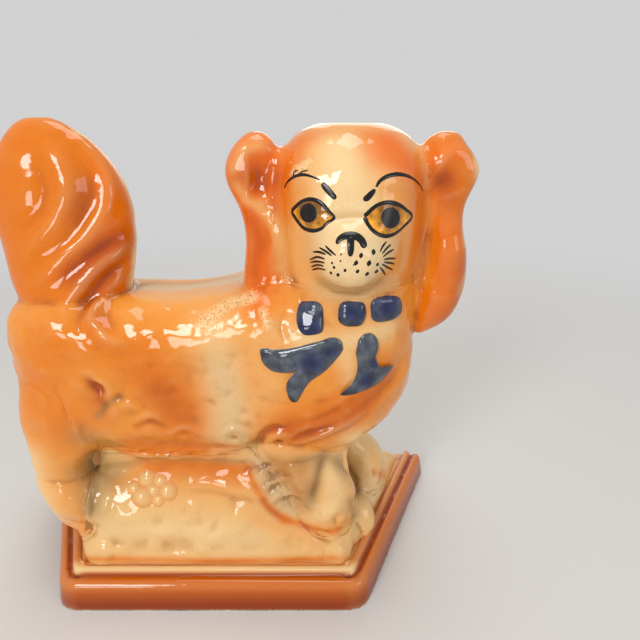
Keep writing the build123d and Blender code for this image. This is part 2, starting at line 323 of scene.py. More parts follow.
def bell(distance: np.ndarray, width: float, power: int = 2) -> np.ndarray:
    """A share that falls from 1 on a path to 0 away from it.

    Args:
        distance: The distances to the path.
        width: The distance where the share is down to 0.37.
        power: How flat its top is.

    Returns:
        The share at each distance.
    """
    return np.exp(-((distance / width) ** power))


def blended(below: np.ndarray, tone: Tone, share: np.ndarray) -> np.ndarray:
    """Some colours with a tone laid over them.

    Args:
        below: The linear colours, a row for each vertex.
        tone: The tone on top.
        share: How much of it lies on each vertex, from 0 to 1.

    Returns:
        The new colours.
    """
    return below + (np.array(linear(tone)) - below) * share[:, None]


@dataclass(eq=False)
class Skin:
    """The outer surface of castings that are luted together, which tools carve and the airbrush colours.

    Args:
        nodes: The CAD nodes.
        voxel_mm: The size of the mesh's faces.
        rounds: How often the seams are wiped smooth.
        fillings: Upright cylinders that fill gaps, as (x, y, z, diameter, length) in millimetres.
    """

    nodes: tuple[str, ...]
    voxel_mm: float
    rounds: int
    fillings: Points = ()
    # Rounds that smooth the borders between castings, and the changes between their worn moulds.
    border_rounds: int = 8
    mould_rounds: int = 24
    # The width over which one casting's slip runs into the next, and of the creases that the glaze darkens, as pooled
    # glaze and as painted shade.
    slip_blend_mm: float = 3.0
    crease_reach_mm: float = 5.4
    # Where the skin may lie along a line of sight that misses it: nearest, farthest and step.
    sight_mm: tuple[int, int, int] = (150, 450, 5)
    # How far a stroke is felt in half widths, how steep a step is, and how its two ends taper.
    stroke_reach: float = 2.6
    step_slope: float = 1.6
    tip_share: float = 0.03
    tip_taper: float = 0.7
    # How much of its firmness a rub moves the clay by, and the least that counts.
    rub_give: float = 0.9
    rub_least: float = 0.01
    # How soon the tools and the airbrush lose skin that turns away, and their share where it is square to them.
    tool_facing: tuple[float, float] = (3.0, 0.6)
    spray_facing: tuple[float, float] = (2.0, 0.7)
    # The first coat: how far above the front it comes from, and where it ends and how softly.
    from_above: float = 0.3
    coat_end: float = 0.02
    coat_fade: float = 0.34
    # The second, finer wave of a worn mould, as shares of the first one's height and length.
    fine_wave: tuple[float, float] = (0.3, 2.3)
    # How worn the sides are, how much more the front is, and the least of it behind.
    wear: tuple[float, float, float] = (0.3, 1.2, 0.25)

    def __post_init__(self) -> None:
        """Joins copies of the nodes and wipes their seams."""
        piece = self.luted_copy()
        apply_modifier(piece, "REMESH", mode="VOXEL", voxel_size=self.voxel_mm * MM)
        piece = self.outermost(piece)
        self.points, self.faces = mesh_arrays(piece.data, 4)
        bpy.data.objects.remove(piece)
        sides = [self.faces[:, [corner, (corner + 1) % 4]] for corner in range(4)]
        self.edges = np.unique(np.sort(np.vstack(sides), axis=1), axis=0)
        self.neighbours = np.bincount(self.edges.ravel(), minlength=len(self.points))[:, None]
        self.owner = self.nearest_casting()
        self.points = self.smoothed(self.points, self.rounds)
        self.colour = np.zeros((len(self.points), 3))
        self.pits = np.zeros(len(self.points))
        self.refresh()

    def luted_copy(self) -> bpy.types.Object:
        """Copies of the castings and their fillings.

        Returns:
            The copies, joined in one object.
        """
        deselect()
        copies = []
        for node in self.nodes:
            copy = bpy.data.objects.new("copy_of_" + node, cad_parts[node].data.copy())
            bpy.context.scene.collection.objects.link(copy)
            copies.append(copy)
        for x, y, z, diameter, length in self.fillings:
            bpy.ops.mesh.primitive_cylinder_add(radius=diameter / 2 * MM, depth=length * MM,
                                                location=(x * MM, y * MM, z * MM))
            filling = bpy.context.object
            filling.data.transform(filling.matrix_world)
            filling.matrix_world.identity()
            copies.append(filling)
        deselect()
        for copy in copies:
            copy.select_set(True)
        bpy.context.view_layer.objects.active = copies[0]
        bpy.ops.object.join()
        return bpy.context.object

    @staticmethod
    def outermost(piece: bpy.types.Object) -> bpy.types.Object:
        """Takes the walls of the hollows away.

        Args:
            piece: The remeshed piece.

        Returns:
            Its outer shell.
        """
        only(piece)
        bpy.ops.object.mode_set(mode="EDIT")
        bpy.ops.mesh.select_all(action="SELECT")
        bpy.ops.mesh.separate(type="LOOSE")
        bpy.ops.object.mode_set(mode="OBJECT")
        shells = sorted(bpy.context.selected_objects, key=lambda shell: len(shell.data.vertices))
        keep = max(shells, key=lambda shell: shell.dimensions.x)
        for shell in shells:
            if shell is not keep:
                bpy.data.objects.remove(shell)
        return keep

    def nearest_casting(self) -> np.ndarray:
        """Shares the skin out to its castings, with the borders between them smoothed.

        Returns:
            The number of the casting that each face belongs to.
        """
        points, faces, owners = [], [], []
        for number, node in enumerate(self.nodes):
            places, corners = mesh_arrays(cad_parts[node].data, 3)
            faces.append(corners + sum(len(part) for part in points))
            points.append(places)
            owners.append(np.full(len(corners), number))
        tree = BVHTree.FromPolygons(np.vstack(points).tolist(), np.vstack(faces).tolist())
        owner_of = np.concatenate(owners)
        centres = self.points[self.faces].mean(axis=1)
        owner = np.array([owner_of[tree.find_nearest(centre)[2]] for centre in centres.tolist()])
        for _ in range(self.border_rounds):
            votes = np.zeros((len(self.points), len(self.nodes)))
            for corner in range(4):
                np.add.at(votes, (self.faces[:, corner], owner), 1)
            owner = votes[self.faces].sum(axis=1).argmax(axis=1)
        return owner

    def smoothed(self, values: np.ndarray, rounds: int) -> np.ndarray:
        """Evens values out over the skin, as a wet sponge wipes clay.

        Args:
            values: One number or three for each vertex.
            rounds: How often each is moved halfway to its neighbours' mean.

        Returns:
            The evened values.
        """
        columns = values.reshape(len(values), -1)
        for _ in range(rounds):
            columns = (columns + neighbour_sums(self.edges, columns) / self.neighbours) / 2
        return columns.reshape(values.shape)

    def rounds_for(self, reach_mm: float) -> int:
        """The rounds of smoothing that even out forms up to this wide."""
        return round((reach_mm / self.voxel_mm) ** 2)

    def refresh(self) -> None:
        """Works out the normals and the search tree again after a change of shape."""
        corners = self.points[self.faces]
        across = np.cross(corners[:, 2] - corners[:, 0], corners[:, 3] - corners[:, 1])
        self.normals = np.zeros_like(self.points)
        for corner in range(4):
            for axis in range(3):
                self.normals[:, axis] += np.bincount(self.faces[:, corner], across[:, axis], len(self.points))
        self.normals /= np.maximum(np.linalg.norm(self.normals, axis=1), TINY)[:, None]
        self.tree = BVHTree.FromPolygons(self.points.tolist(), self.faces.tolist())

    def seen_at(self, x: float, y: float) -> tuple[np.ndarray, np.ndarray]:
        """The place on the skin that a pixel of the photograph shows, or the nearest one beside the outline.

        Args:
            x: Pixels from the photograph's left edge.
            y: Pixels from its top edge.

        Returns:
            The point in millimetres and the skin's normal there.
        """
        start, way = CAMERA.ray(x, y)
        place, _, face, _ = self.tree.ray_cast(start, way)
        if place is None:
            far = [self.tree.find_nearest(start + way * reach) for reach in range(*self.sight_mm)]
            place, _, face, _ = min(far, key=lambda found: found[3])
        return np.array(place), self.normals[self.faces[face]].mean(axis=0)

    def nearest(self, point: np.ndarray) -> tuple[np.ndarray, np.ndarray]:
        """The place on the skin that is nearest to a point.

        Args:
            point: The point in millimetres.

        Returns:
            The place in millimetres and the skin's normal there.
        """
        place, _, face, _ = self.tree.find_nearest(Vector(point))
        return np.array(place), self.normals[self.faces[face]].mean(axis=0)

    def route(self, points: Points, place: Place) -> tuple[np.ndarray, np.ndarray]:
        """A stroke's path on the skin.

        Args:
            points: The stroke's points.
            place: How they are given.

        Returns:
            The path's points and the skin's normals along it.
        """
        line = curve_through(points, 5)
        if place is Place.PHOTO:
            found = [self.seen_at(*point) for point in line]
        else:
            found = [self.nearest(point) for point in line]
        return np.array([f[0] for f in found]), np.array([f[1] for f in found])

    def near(self, path: np.ndarray, normals: np.ndarray, width: float) -> tuple[np.ndarray, ...]:
        """The vertices that a stroke reaches.

        Args:
            path: The stroke's path.
            normals: The skin's normals along it.
            width: The stroke's half width.

        Returns:
            The vertex numbers, their distance to the path, which side they lie on and how far along.
        """
        reach = self.stroke_reach * width
        inside = np.all((self.points > path.min(0) - reach) & (self.points < path.max(0) + reach), axis=1)
        ids = np.nonzero(inside)[0]
        spots = self.points[ids]
        if len(path) == 1:
            return ids, np.linalg.norm(spots - path[0], axis=1), np.zeros(len(ids)), np.full(len(ids), 0.5)
        best = np.full(len(ids), np.inf)
        side = np.zeros(len(ids))
        along = np.zeros(len(ids))
        for number, (a, b) in enumerate(zip(path, path[1:])):
            run = b - a
            share = np.clip((spots - a) @ run / max(run @ run, TINY), 0, 1)
            off = spots - a - share[:, None] * run
            distance = np.linalg.norm(off, axis=1)
            nearer = distance < best
            best[nearer] = distance[nearer]
            left = np.cross(normals[number], run / max(np.linalg.norm(run), TINY))
            side[nearer] = (off @ left)[nearer]
            along[nearer] = (number + share[nearer]) / (len(path) - 1)
        return ids, best, side, along

    def facing(self, ids: np.ndarray, normals: np.ndarray, gain: float, start: float) -> np.ndarray:
        """How far some vertices face the tool.

        Args:
            ids: The vertex numbers.
            normals: The skin's normals along the tool's path.
            gain: How soon the share falls as the skin turns away.
            start: The share of skin that is turned by a right angle.

        Returns:
            The share for each vertex, from 0 to 1.
        """
        return np.clip((self.normals[ids] @ normals.mean(axis=0)) * gain + start, 0, 1)

    def carve(self, strokes: tuple[Stroke, ...]) -> None:
        """Works the clay with one set of strokes, all on the shape as it was.

        Args:
            strokes: The strokes.
        """
        push = np.zeros(len(self.points))
        for stroke in strokes:
            path, normals = self.route(stroke.points, stroke.place)
            ids, distance, side, along = self.near(path, normals, stroke.width)
            share = bell(distance, stroke.width)
            if stroke.profile is Profile.STEP:
                share *= self.step_slope * side / stroke.width
            if len(path) > 1:
                along = np.clip(along, self.tip_share, 1 - self.tip_share)
                share *= np.sin(np.pi * along) ** self.tip_taper
            push[ids] += stroke.depth * share * self.facing(ids, normals, *self.tool_facing)
        self.points += self.normals * push[:, None]
        self.refresh()

    def rub(self, strokes: tuple[Stroke, ...], reach_mm: float) -> None:
        """Rubs seams and edges smooth along some strokes, whose depth is how firmly, from 0 to 1.

        Args:
            strokes: The strokes.
            reach_mm: How large a form is rubbed away.
        """
        firm = np.zeros(len(self.points))
        for stroke in strokes:
            path, normals = self.route(stroke.points, stroke.place)
            ids, distance, _, _ = self.near(path, normals, stroke.width)
            firm[ids] = np.maximum(firm[ids], stroke.depth * bell(distance, stroke.width, 4))
        near = firm > self.rub_least
        touched = self.edges[near[self.edges].any(axis=1)]
        count = np.maximum(np.bincount(touched.ravel(), minlength=len(firm)), 1)[:, None]
        for _ in range(self.rounds_for(reach_mm)):
            mean = neighbour_sums(touched, self.points) / count
            self.points[near] += ((mean - self.points) * (self.rub_give * firm)[:, None])[near]
        self.refresh()

    def uneven(self, amounts: dict[str, tuple[float, float]]) -> None:
        """Gives each casting the unevenness of its own worn mould, most on its modelled front.

        Args:
            amounts: The height and the length of the waves in millimetres, by casting.
        """
        height, length = np.zeros(len(self.points)), np.ones(len(self.points))
        for number, name in enumerate(self.nodes):
            own = np.unique(self.faces[self.owner == number])
            height[own], length[own] = amounts[name]
        side, front, behind = self.wear
        worn = np.clip(side - front * self.normals[:, 1], behind, 1)
        height = self.smoothed(height * worn, self.mould_rounds)
        length = self.smoothed(length, self.mould_rounds)
        share, finer = self.fine_wave
        wave = [noise.noise(Vector(p) / span) + share * noise.noise(Vector(p) * finer / span)
                for p, span in zip(self.points.tolist(), length.tolist())]
        self.points += self.normals * (np.array(wave) * height)[:, None]
        self.refresh()

    def coat(self, tones: dict[str, Tone], back: Tone) -> None:
        """Sprays the first coat: each casting's own slip where it faces the front or up, and cream behind.

        Args:
            tones: The slip of each casting.
            back: The cream of the side that faces the wall.
        """
        own = np.array([linear(tones[name]) for name in self.nodes])
        total = np.zeros((len(self.points), 3))
        count = np.zeros(len(self.points))
        for corner in range(4):
            np.add.at(total, self.faces[:, corner], own[self.owner])
            np.add.at(count, self.faces[:, corner], 1)
        slip = self.smoothed(total / count[:, None], self.rounds_for(self.slip_blend_mm))
        towards_potter = -self.normals[:, 1] + self.from_above * self.normals[:, 2]
        shown = np.clip((towards_potter - self.coat_end) / self.coat_fade, 0, 1)[:, None]
        cream = np.array(linear(back))
        self.colour = cream + (slip - cream) * shown

    def spray(self, passes: tuple[Spray, ...]) -> None:
        """Airbrushes the skin, one pass over the other.

        Args:
            passes: The passes, first to last.
        """
        for one in passes:
            path, normals = self.route(one.points, one.place)
            ids, distance, _, _ = self.near(path, normals, one.width)
            share = one.amount * bell(distance, one.width) * self.facing(ids, normals, *self.spray_facing)
            self.colour[ids] = blended(self.colour[ids], one.tone, share)

    def pitted(self, points: Points, width: float) -> None:
        """Marks a patch where the glaze crawled and pitted.

        Args:
            points: The patch's middle line, in pixels of the photograph.
            width: Its half width in millimetres.
        """
        path, normals = self.route(points, Place.PHOTO)
        ids, distance, _, _ = self.near(path, normals, width)
        self.pits[ids] = np.maximum(self.pits[ids], bell(distance, width))

    def hollows(self, reach_mm: float) -> np.ndarray:
        """How deep the skin's creases are.

        Args:
            reach_mm: The width of the widest creases that count.

        Returns:
            Each vertex's depth in a crease in millimetres, below zero on a crest.
        """
        smooth = self.smoothed(self.points, self.rounds_for(reach_mm))
        return ((smooth - self.points) * self.normals).sum(axis=1)

    def pieces(self, suffix: str) -> dict[str, bpy.types.Object]:
        """Cuts the skin into one closed piece for each casting, with the shading of the whole skin.

        Args:
            suffix: The end of each piece's name.

        Returns:
            The pieces by node.
        """
        crease_depth = self.hollows(self.crease_reach_mm)
        made = {}
        for number, node in enumerate(self.nodes):
            own = self.faces[self.owner == number]
            used, corners = np.unique(own, return_inverse=True)
            piece = mesh_piece(node + suffix, self.points[used], corners.reshape(-1, 4).tolist())
            mesh = piece.data
            layers = (("airbrush", "FLOAT_COLOR", np.hstack([self.colour[used], np.ones((len(used), 1))])),
                      ("crease_depth", "FLOAT", crease_depth[used]), ("pits", "FLOAT", self.pits[used]))
            for layer, kind, values in layers:
                attribute = mesh.attributes.new(layer, kind, "POINT")
                attribute.data.foreach_set("color" if kind == "FLOAT_COLOR" else "value",
                                           values.astype(np.float32).ravel())
            cut = bmesh.new()
            cut.from_mesh(mesh)
            border = [edge for edge in cut.edges if edge.is_boundary]
            sealed = bmesh.ops.holes_fill(cut, edges=border, sides=0)["faces"]
            caps = bmesh.ops.triangulate(cut, faces=sealed)["faces"]
            cut.faces.index_update()
            cap_numbers = {face.index for face in caps}
            cut.to_mesh(mesh)
            open_edges = sum(not edge.is_manifold for edge in cut.edges)
            cut.free()
            mesh.shade_smooth()
            normals = []
            for polygon in mesh.polygons:
                capped = polygon.index in cap_numbers
                for corner in polygon.vertices:
                    normals.append(tuple(polygon.normal) if capped else tuple(self.normals[used[corner]]))
            mesh.normals_split_custom_set(normals)
            LOG.info("%s has %d open or shared edges", piece.name, open_edges)
            made[node] = piece
        return made


def node(tree: bpy.types.NodeTree, kind: str, inputs: dict | None = None, **settings: object) -> bpy.types.Node:
    """Adds a node with its settings, values and links.

    Args:
        tree: The material's node tree.
        kind: The node's type, without its common first part.
        inputs: Values, or outputs to link from, by the input's name or number.
        settings: The node's own settings.

    Returns:
        The node.
    """
    made = tree.nodes.new("ShaderNode" + kind)
    for name, value in settings.items():
        setattr(made, name, value)
    for name, value in (inputs or {}).items():
        if isinstance(value, bpy.types.NodeSocket):
            tree.links.new(value, made.inputs[name])
        else:
            made.inputs[name].default_value = value
    return made


def blank_material(name: str) -> tuple[bpy.types.Material, bpy.types.NodeTree, bpy.types.Node]:
    """A new material with an empty node tree but for its output.

    Args:
        name: What the material really is.

    Returns:
        The material, its tree and the output node.
    """
    material = bpy.data.materials.new(name)
    material.use_nodes = True
    material.node_tree.nodes.clear()
    output = node(material.node_tree, "OutputMaterial")
    return material, material.node_tree, output


@dataclass(frozen=True)
class AirbrushedGlaze:
    """Clear lead glaze, poured over airbrushed slips on cream earthenware and fired glossy."""

    # To the eye: wet-looking, softly rippled highlights over a fine spray mist. The creases are darker and warmer,
    # partly from pooled glaze and partly as painted shade; the crests are paler, partly from thin glaze and partly as
    # a painted highlight.
    # It holds stray kiln specks, and has crawled into yellowed pits on the shoulder.
    name: str = "airbrushed_lead_glaze"
    roughness: float = 0.07
    gloss_change: tuple[float, float] = (0.7, 1.4)
    ior: float = 1.46
    # The slow waves of its surface.
    ripple_mm: float = 7.0
    ripple_depth_mm: float = 0.16
    ripple_strength: float = 0.8
    # The droplets of the spray and how far they darken and lighten the slip.
    mist_mm: float = 0.55
    mist_change: tuple[float, float] = (0.93, 1.06)
    # Kiln specks.
    speck_spacing_mm: float = 11.0
    speck_mm: float = 0.28
    speck_share: float = 0.8
    # Where it crawled: the pits' size and depth, the noise where the slip starts to show bare, and how bare.
    pit_mm: float = 1.3
    pit_depth_mm: float = 0.5
    bare_noise: tuple[float, float] = (0.2, 0.5)
    bare_share: float = 0.85
    # The creases that are darkened, as pooled glaze and as painted shade, their tint, and how pale the crests are, as
    # thin glaze and as a painted highlight.
    crease_from_mm: float = 0.07
    crease_full_mm: float = 0.65
    pool_and_shade_share: float = 0.8
    pool_and_shade_tint: tuple[float, float, float] = (0.58, 0.42, 0.24)
    crest_from_mm: float = 0.08
    crest_share: float = 0.18

    def material(self) -> bpy.types.Material:
        """Builds the glaze's material.

        Returns:
            The material, which reads a piece's airbrush colour, pools and pits.
        """
        material, tree, output = blank_material(self.name)
        where = node(tree, "TexCoord").outputs["Object"]
        slip = node(tree, "Attribute", attribute_name="airbrush").outputs["Color"]
        crease_depth = node(tree, "Attribute", attribute_name="crease_depth").outputs["Fac"]
        pits = node(tree, "Attribute", attribute_name="pits").outputs["Fac"]

        mist = node(tree, "TexNoise", {"Vector": where, "Scale": 1 / (self.mist_mm * MM), "Detail": 3.0})
        mist_share = node(tree, "MapRange", {"Value": mist.outputs["Fac"], "From Min": 0.3, "From Max": 0.7,
                                             "To Min": self.mist_change[0], "To Max": self.mist_change[1]})
        misted = node(tree, "VectorMath", {0: slip, "Scale": mist_share.outputs[0]}, operation="SCALE")

        # Darker and warmer in creases, partly as pooled glaze and partly as painted shade.
        deep = node(tree, "MapRange", {"Value": crease_depth, "From Min": self.crease_from_mm,
                                       "From Max": self.crease_full_mm, "To Max": self.pool_and_shade_share})
        darkening = node(tree, "VectorMath", {0: misted.outputs[0], 1: self.pool_and_shade_tint}, operation="MULTIPLY")
        # Paler on crests, partly as thin glaze and partly as a painted highlight.
        crest = node(tree, "MapRange", {"Value": crease_depth, "From Min": -self.crest_from_mm,
                                        "From Max": -self.crease_full_mm, "To Max": self.crest_share})

        cells = node(tree, "TexVoronoi", {"Vector": where, "Scale": 1 / (self.speck_spacing_mm * MM)})
        speck_reach = self.speck_mm / self.speck_spacing_mm
        speck = node(tree, "MapRange", {"Value": cells.outputs["Distance"], "From Min": speck_reach,
                                        "From Max": speck_reach * 0.5, "To Max": self.speck_share})

        crawl = node(tree, "TexNoise", {"Vector": where, "Scale": 1 / (self.pit_mm * MM), "Detail": 4.0})
        crawled = node(tree, "Math", {0: crawl.outputs["Fac"], 1: pits}, operation="MULTIPLY")
        bare = node(tree, "MapRange", {"Value": crawled.outputs[0], "From Min": self.bare_noise[0],
                                       "From Max": self.bare_noise[1], "To Max": self.bare_share})
        dots = node(tree, "TexVoronoi", {"Vector": where, "Scale": 1 / (self.pit_mm * MM)})
        hole = node(tree, "MapRange", {"Value": dots.outputs["Distance"], "From Min": 0.30, "From Max": 0.14})
        dark = node(tree, "Math", {0: hole.outputs[0], 1: pits}, operation="MULTIPLY")

        base = misted.outputs[0]
        for share, top in ((deep, darkening.outputs[0]), (crest, (*linear(Tone.CREAM), 1)),
                           (speck, (*linear(Tone.UMBER), 1)), (bare, (*linear(Tone.CREAM), 1)),
                           (dark, (*linear(Tone.DARK_RUST), 1))):
            base = node(tree, "Mix", {0: share.outputs[0], 6: base, 7: top}, data_type="RGBA").outputs[2]

        ripple = node(tree, "TexNoise", {"Vector": where, "Scale": 1 / (self.ripple_mm * MM), "Detail": 1.5})
        wavy = node(tree, "Bump", {"Height": ripple.outputs["Fac"], "Distance": self.ripple_depth_mm * MM,
                                   "Strength": self.ripple_strength})
        pitted = node(tree, "Bump", {"Height": crawled.outputs[0], "Distance": self.pit_depth_mm * MM,
                                     "Normal": wavy.outputs[0]})
        gloss = node(tree, "MapRange", {"Value": mist.outputs["Fac"],
                                        "To Min": self.roughness * self.gloss_change[0],
                                        "To Max": self.roughness * self.gloss_change[1]})
        shader = node(tree, "BsdfPrincipled", {
            "Base Color": base, "Roughness": gloss.outputs[0], "IOR": self.ior,
            "Normal": pitted.outputs[0]})
        tree.links.new(shader.outputs[0], output.inputs[0])
        return material


@dataclass(frozen=True)
class BrushedEnamel:
    """Overglaze enamel, laid on with a fine brush and fired."""

    # To the eye: a glossy dark line that stands a little proud and turns browner where the brush ran dry.
    name: str
    tone: Tone
    thin_tone: Tone
    roughness: float = 0.22
    streak_mm: float = 1.1
    unevenness: float = 0.35
    ior: float = 1.45

    def material(self) -> bpy.types.Material:
        """Builds the enamel's material.

        Returns:
            The material.
        """
        material, tree, output = blank_material(self.name)
        where = node(tree, "TexCoord").outputs["Object"]
        streak = node(tree, "TexNoise", {"Vector": where, "Scale": 1 / (self.streak_mm * MM), "Detail": 4.0})
        thin = node(tree, "MapRange", {"Value": streak.outputs["Fac"], "From Min": 0.45, "From Max": 0.75,
                                       "To Max": self.unevenness})
        tone = node(tree, "Mix", {0: thin.outputs[0], 6: (*linear(self.tone), 1), 7: (*linear(self.thin_tone), 1)},
                    data_type="RGBA")
        shader = node(tree, "BsdfPrincipled", {"Base Color": tone.outputs[2], "Roughness": self.roughness,
                                               "IOR": self.ior})
        tree.links.new(shader.outputs[0], output.inputs[0])
        return material


@dataclass(frozen=True)
class WashedGlaze:
    """Coloured glaze, washed with a full brush over a sprig or an eye and fired glossy."""

    # To the eye: a wet, cloudy colour that is pale where it ran thin over an edge and deep where it pooled.
    name: str
    roughness: float = 0.07
    cloud_mm: float = 4.5
    cloud_change: tuple[float, float] = (0.5, 1.6)
    ior: float = 1.52

    def material(self) -> bpy.types.Material:
        """Builds the wash's material.

        Returns:
            The material, which reads the piece's own wash.
        """
        material, tree, output = blank_material(self.name)
        where = node(tree, "TexCoord").outputs["Object"]
        wash = node(tree, "Attribute", attribute_name="airbrush").outputs["Color"]
        cloud = node(tree, "TexNoise", {"Vector": where, "Scale": 1 / (self.cloud_mm * MM), "Detail": 5.0})
        share = node(tree, "MapRange", {"Value": cloud.outputs["Fac"], "From Min": 0.3, "From Max": 0.7,
                                        "To Min": self.cloud_change[0], "To Max": self.cloud_change[1]})
        tone = node(tree, "VectorMath", {0: wash, "Scale": share.outputs[0]}, operation="SCALE")
        shader = node(tree, "BsdfPrincipled", {"Base Color": tone.outputs[0], "Roughness": self.roughness,
                                               "IOR": self.ior})
        tree.links.new(shader.outputs[0], output.inputs[0])
        return material


@dataclass(frozen=True)
class FiredClay:
    """Bare fired earthenware, wiped free of glaze."""

    # To the eye: a dry, matte, faintly gritty cream, with the grey stains of a foot that has stood on shelves.
    name: str = "bare_earthenware"
    roughness: float = 0.82
    grog_mm: float = 0.9
    grog_depth_mm: float = 0.12
    stain_mm: float = 28.0
    stain_noise: tuple[float, float] = (0.15, 0.38)

    def material(self) -> bpy.types.Material:
        """Builds the clay's material.

        Returns:
            The material.
        """
        material, tree, output = blank_material(self.name)
        where = node(tree, "TexCoord").outputs["Object"]
        grog = node(tree, "TexNoise", {"Vector": where, "Scale": 1 / (self.grog_mm * MM), "Detail": 5.0})
        darkening = node(tree, "TexNoise", {"Vector": where, "Scale": 1 / (self.stain_mm * MM), "Detail": 5.0})
        both = node(tree, "Math", {0: grog.outputs["Fac"], 1: darkening.outputs["Fac"]}, operation="MULTIPLY")
        share = node(tree, "MapRange", {"Value": both.outputs[0], "From Min": self.stain_noise[0],
                                        "From Max": self.stain_noise[1]})
        tone = node(tree, "Mix", {0: share.outputs[0], 6: (*linear(Tone.SHADOW), 1), 7: (*linear(Tone.CLAY), 1)},
                    data_type="RGBA")
        rough = node(tree, "Bump", {"Height": grog.outputs["Fac"], "Distance": self.grog_depth_mm * MM})
        shader = node(tree, "BsdfPrincipled", {"Base Color": tone.outputs[2], "Roughness": self.roughness,
                                               "Normal": rough.outputs[0]})
        tree.links.new(shader.outputs[0], output.inputs[0])
        return material


@dataclass(frozen=True)
class Finishes:
    """The figure's finishes, each made once."""

    glaze: bpy.types.Material
    black: bpy.types.Material
    amber: bpy.types.Material
    pupil: bpy.types.Material
    cobalt: bpy.types.Material
    clay: bpy.types.Material

    @classmethod
    def made(cls) -> "Finishes":
        """Makes every finish.

        Returns:
            The finishes.
        """
        return cls(
            AirbrushedGlaze().material(),
            BrushedEnamel("black_enamel", Tone.BLACK, Tone.UMBER).material(),
            WashedGlaze("amber_wash", cloud_mm=3.0).material(),
            BrushedEnamel("umber_enamel", Tone.BLACK, Tone.UMBER, 0.3, 4.0, 0.8).material(),
            WashedGlaze("cobalt_wash").material(),
            FiredClay().material(),
        )


def ring_faces(gaps: int, size: int) -> list[list[int]]:
    """The faces between rings of vertices that are numbered one ring after the other.

    Args:
        gaps: How many gaps there are between the rings.
        size: How many vertices a ring has.

    Returns:
        Each face's vertex numbers.
    """
    faces = []
    for start in range(0, gaps * size, size):
        for column in range(size):
            near, far = start + column, start + (column + 1) % size
            faces.append([near, far, far + size, near + size])
    return faces


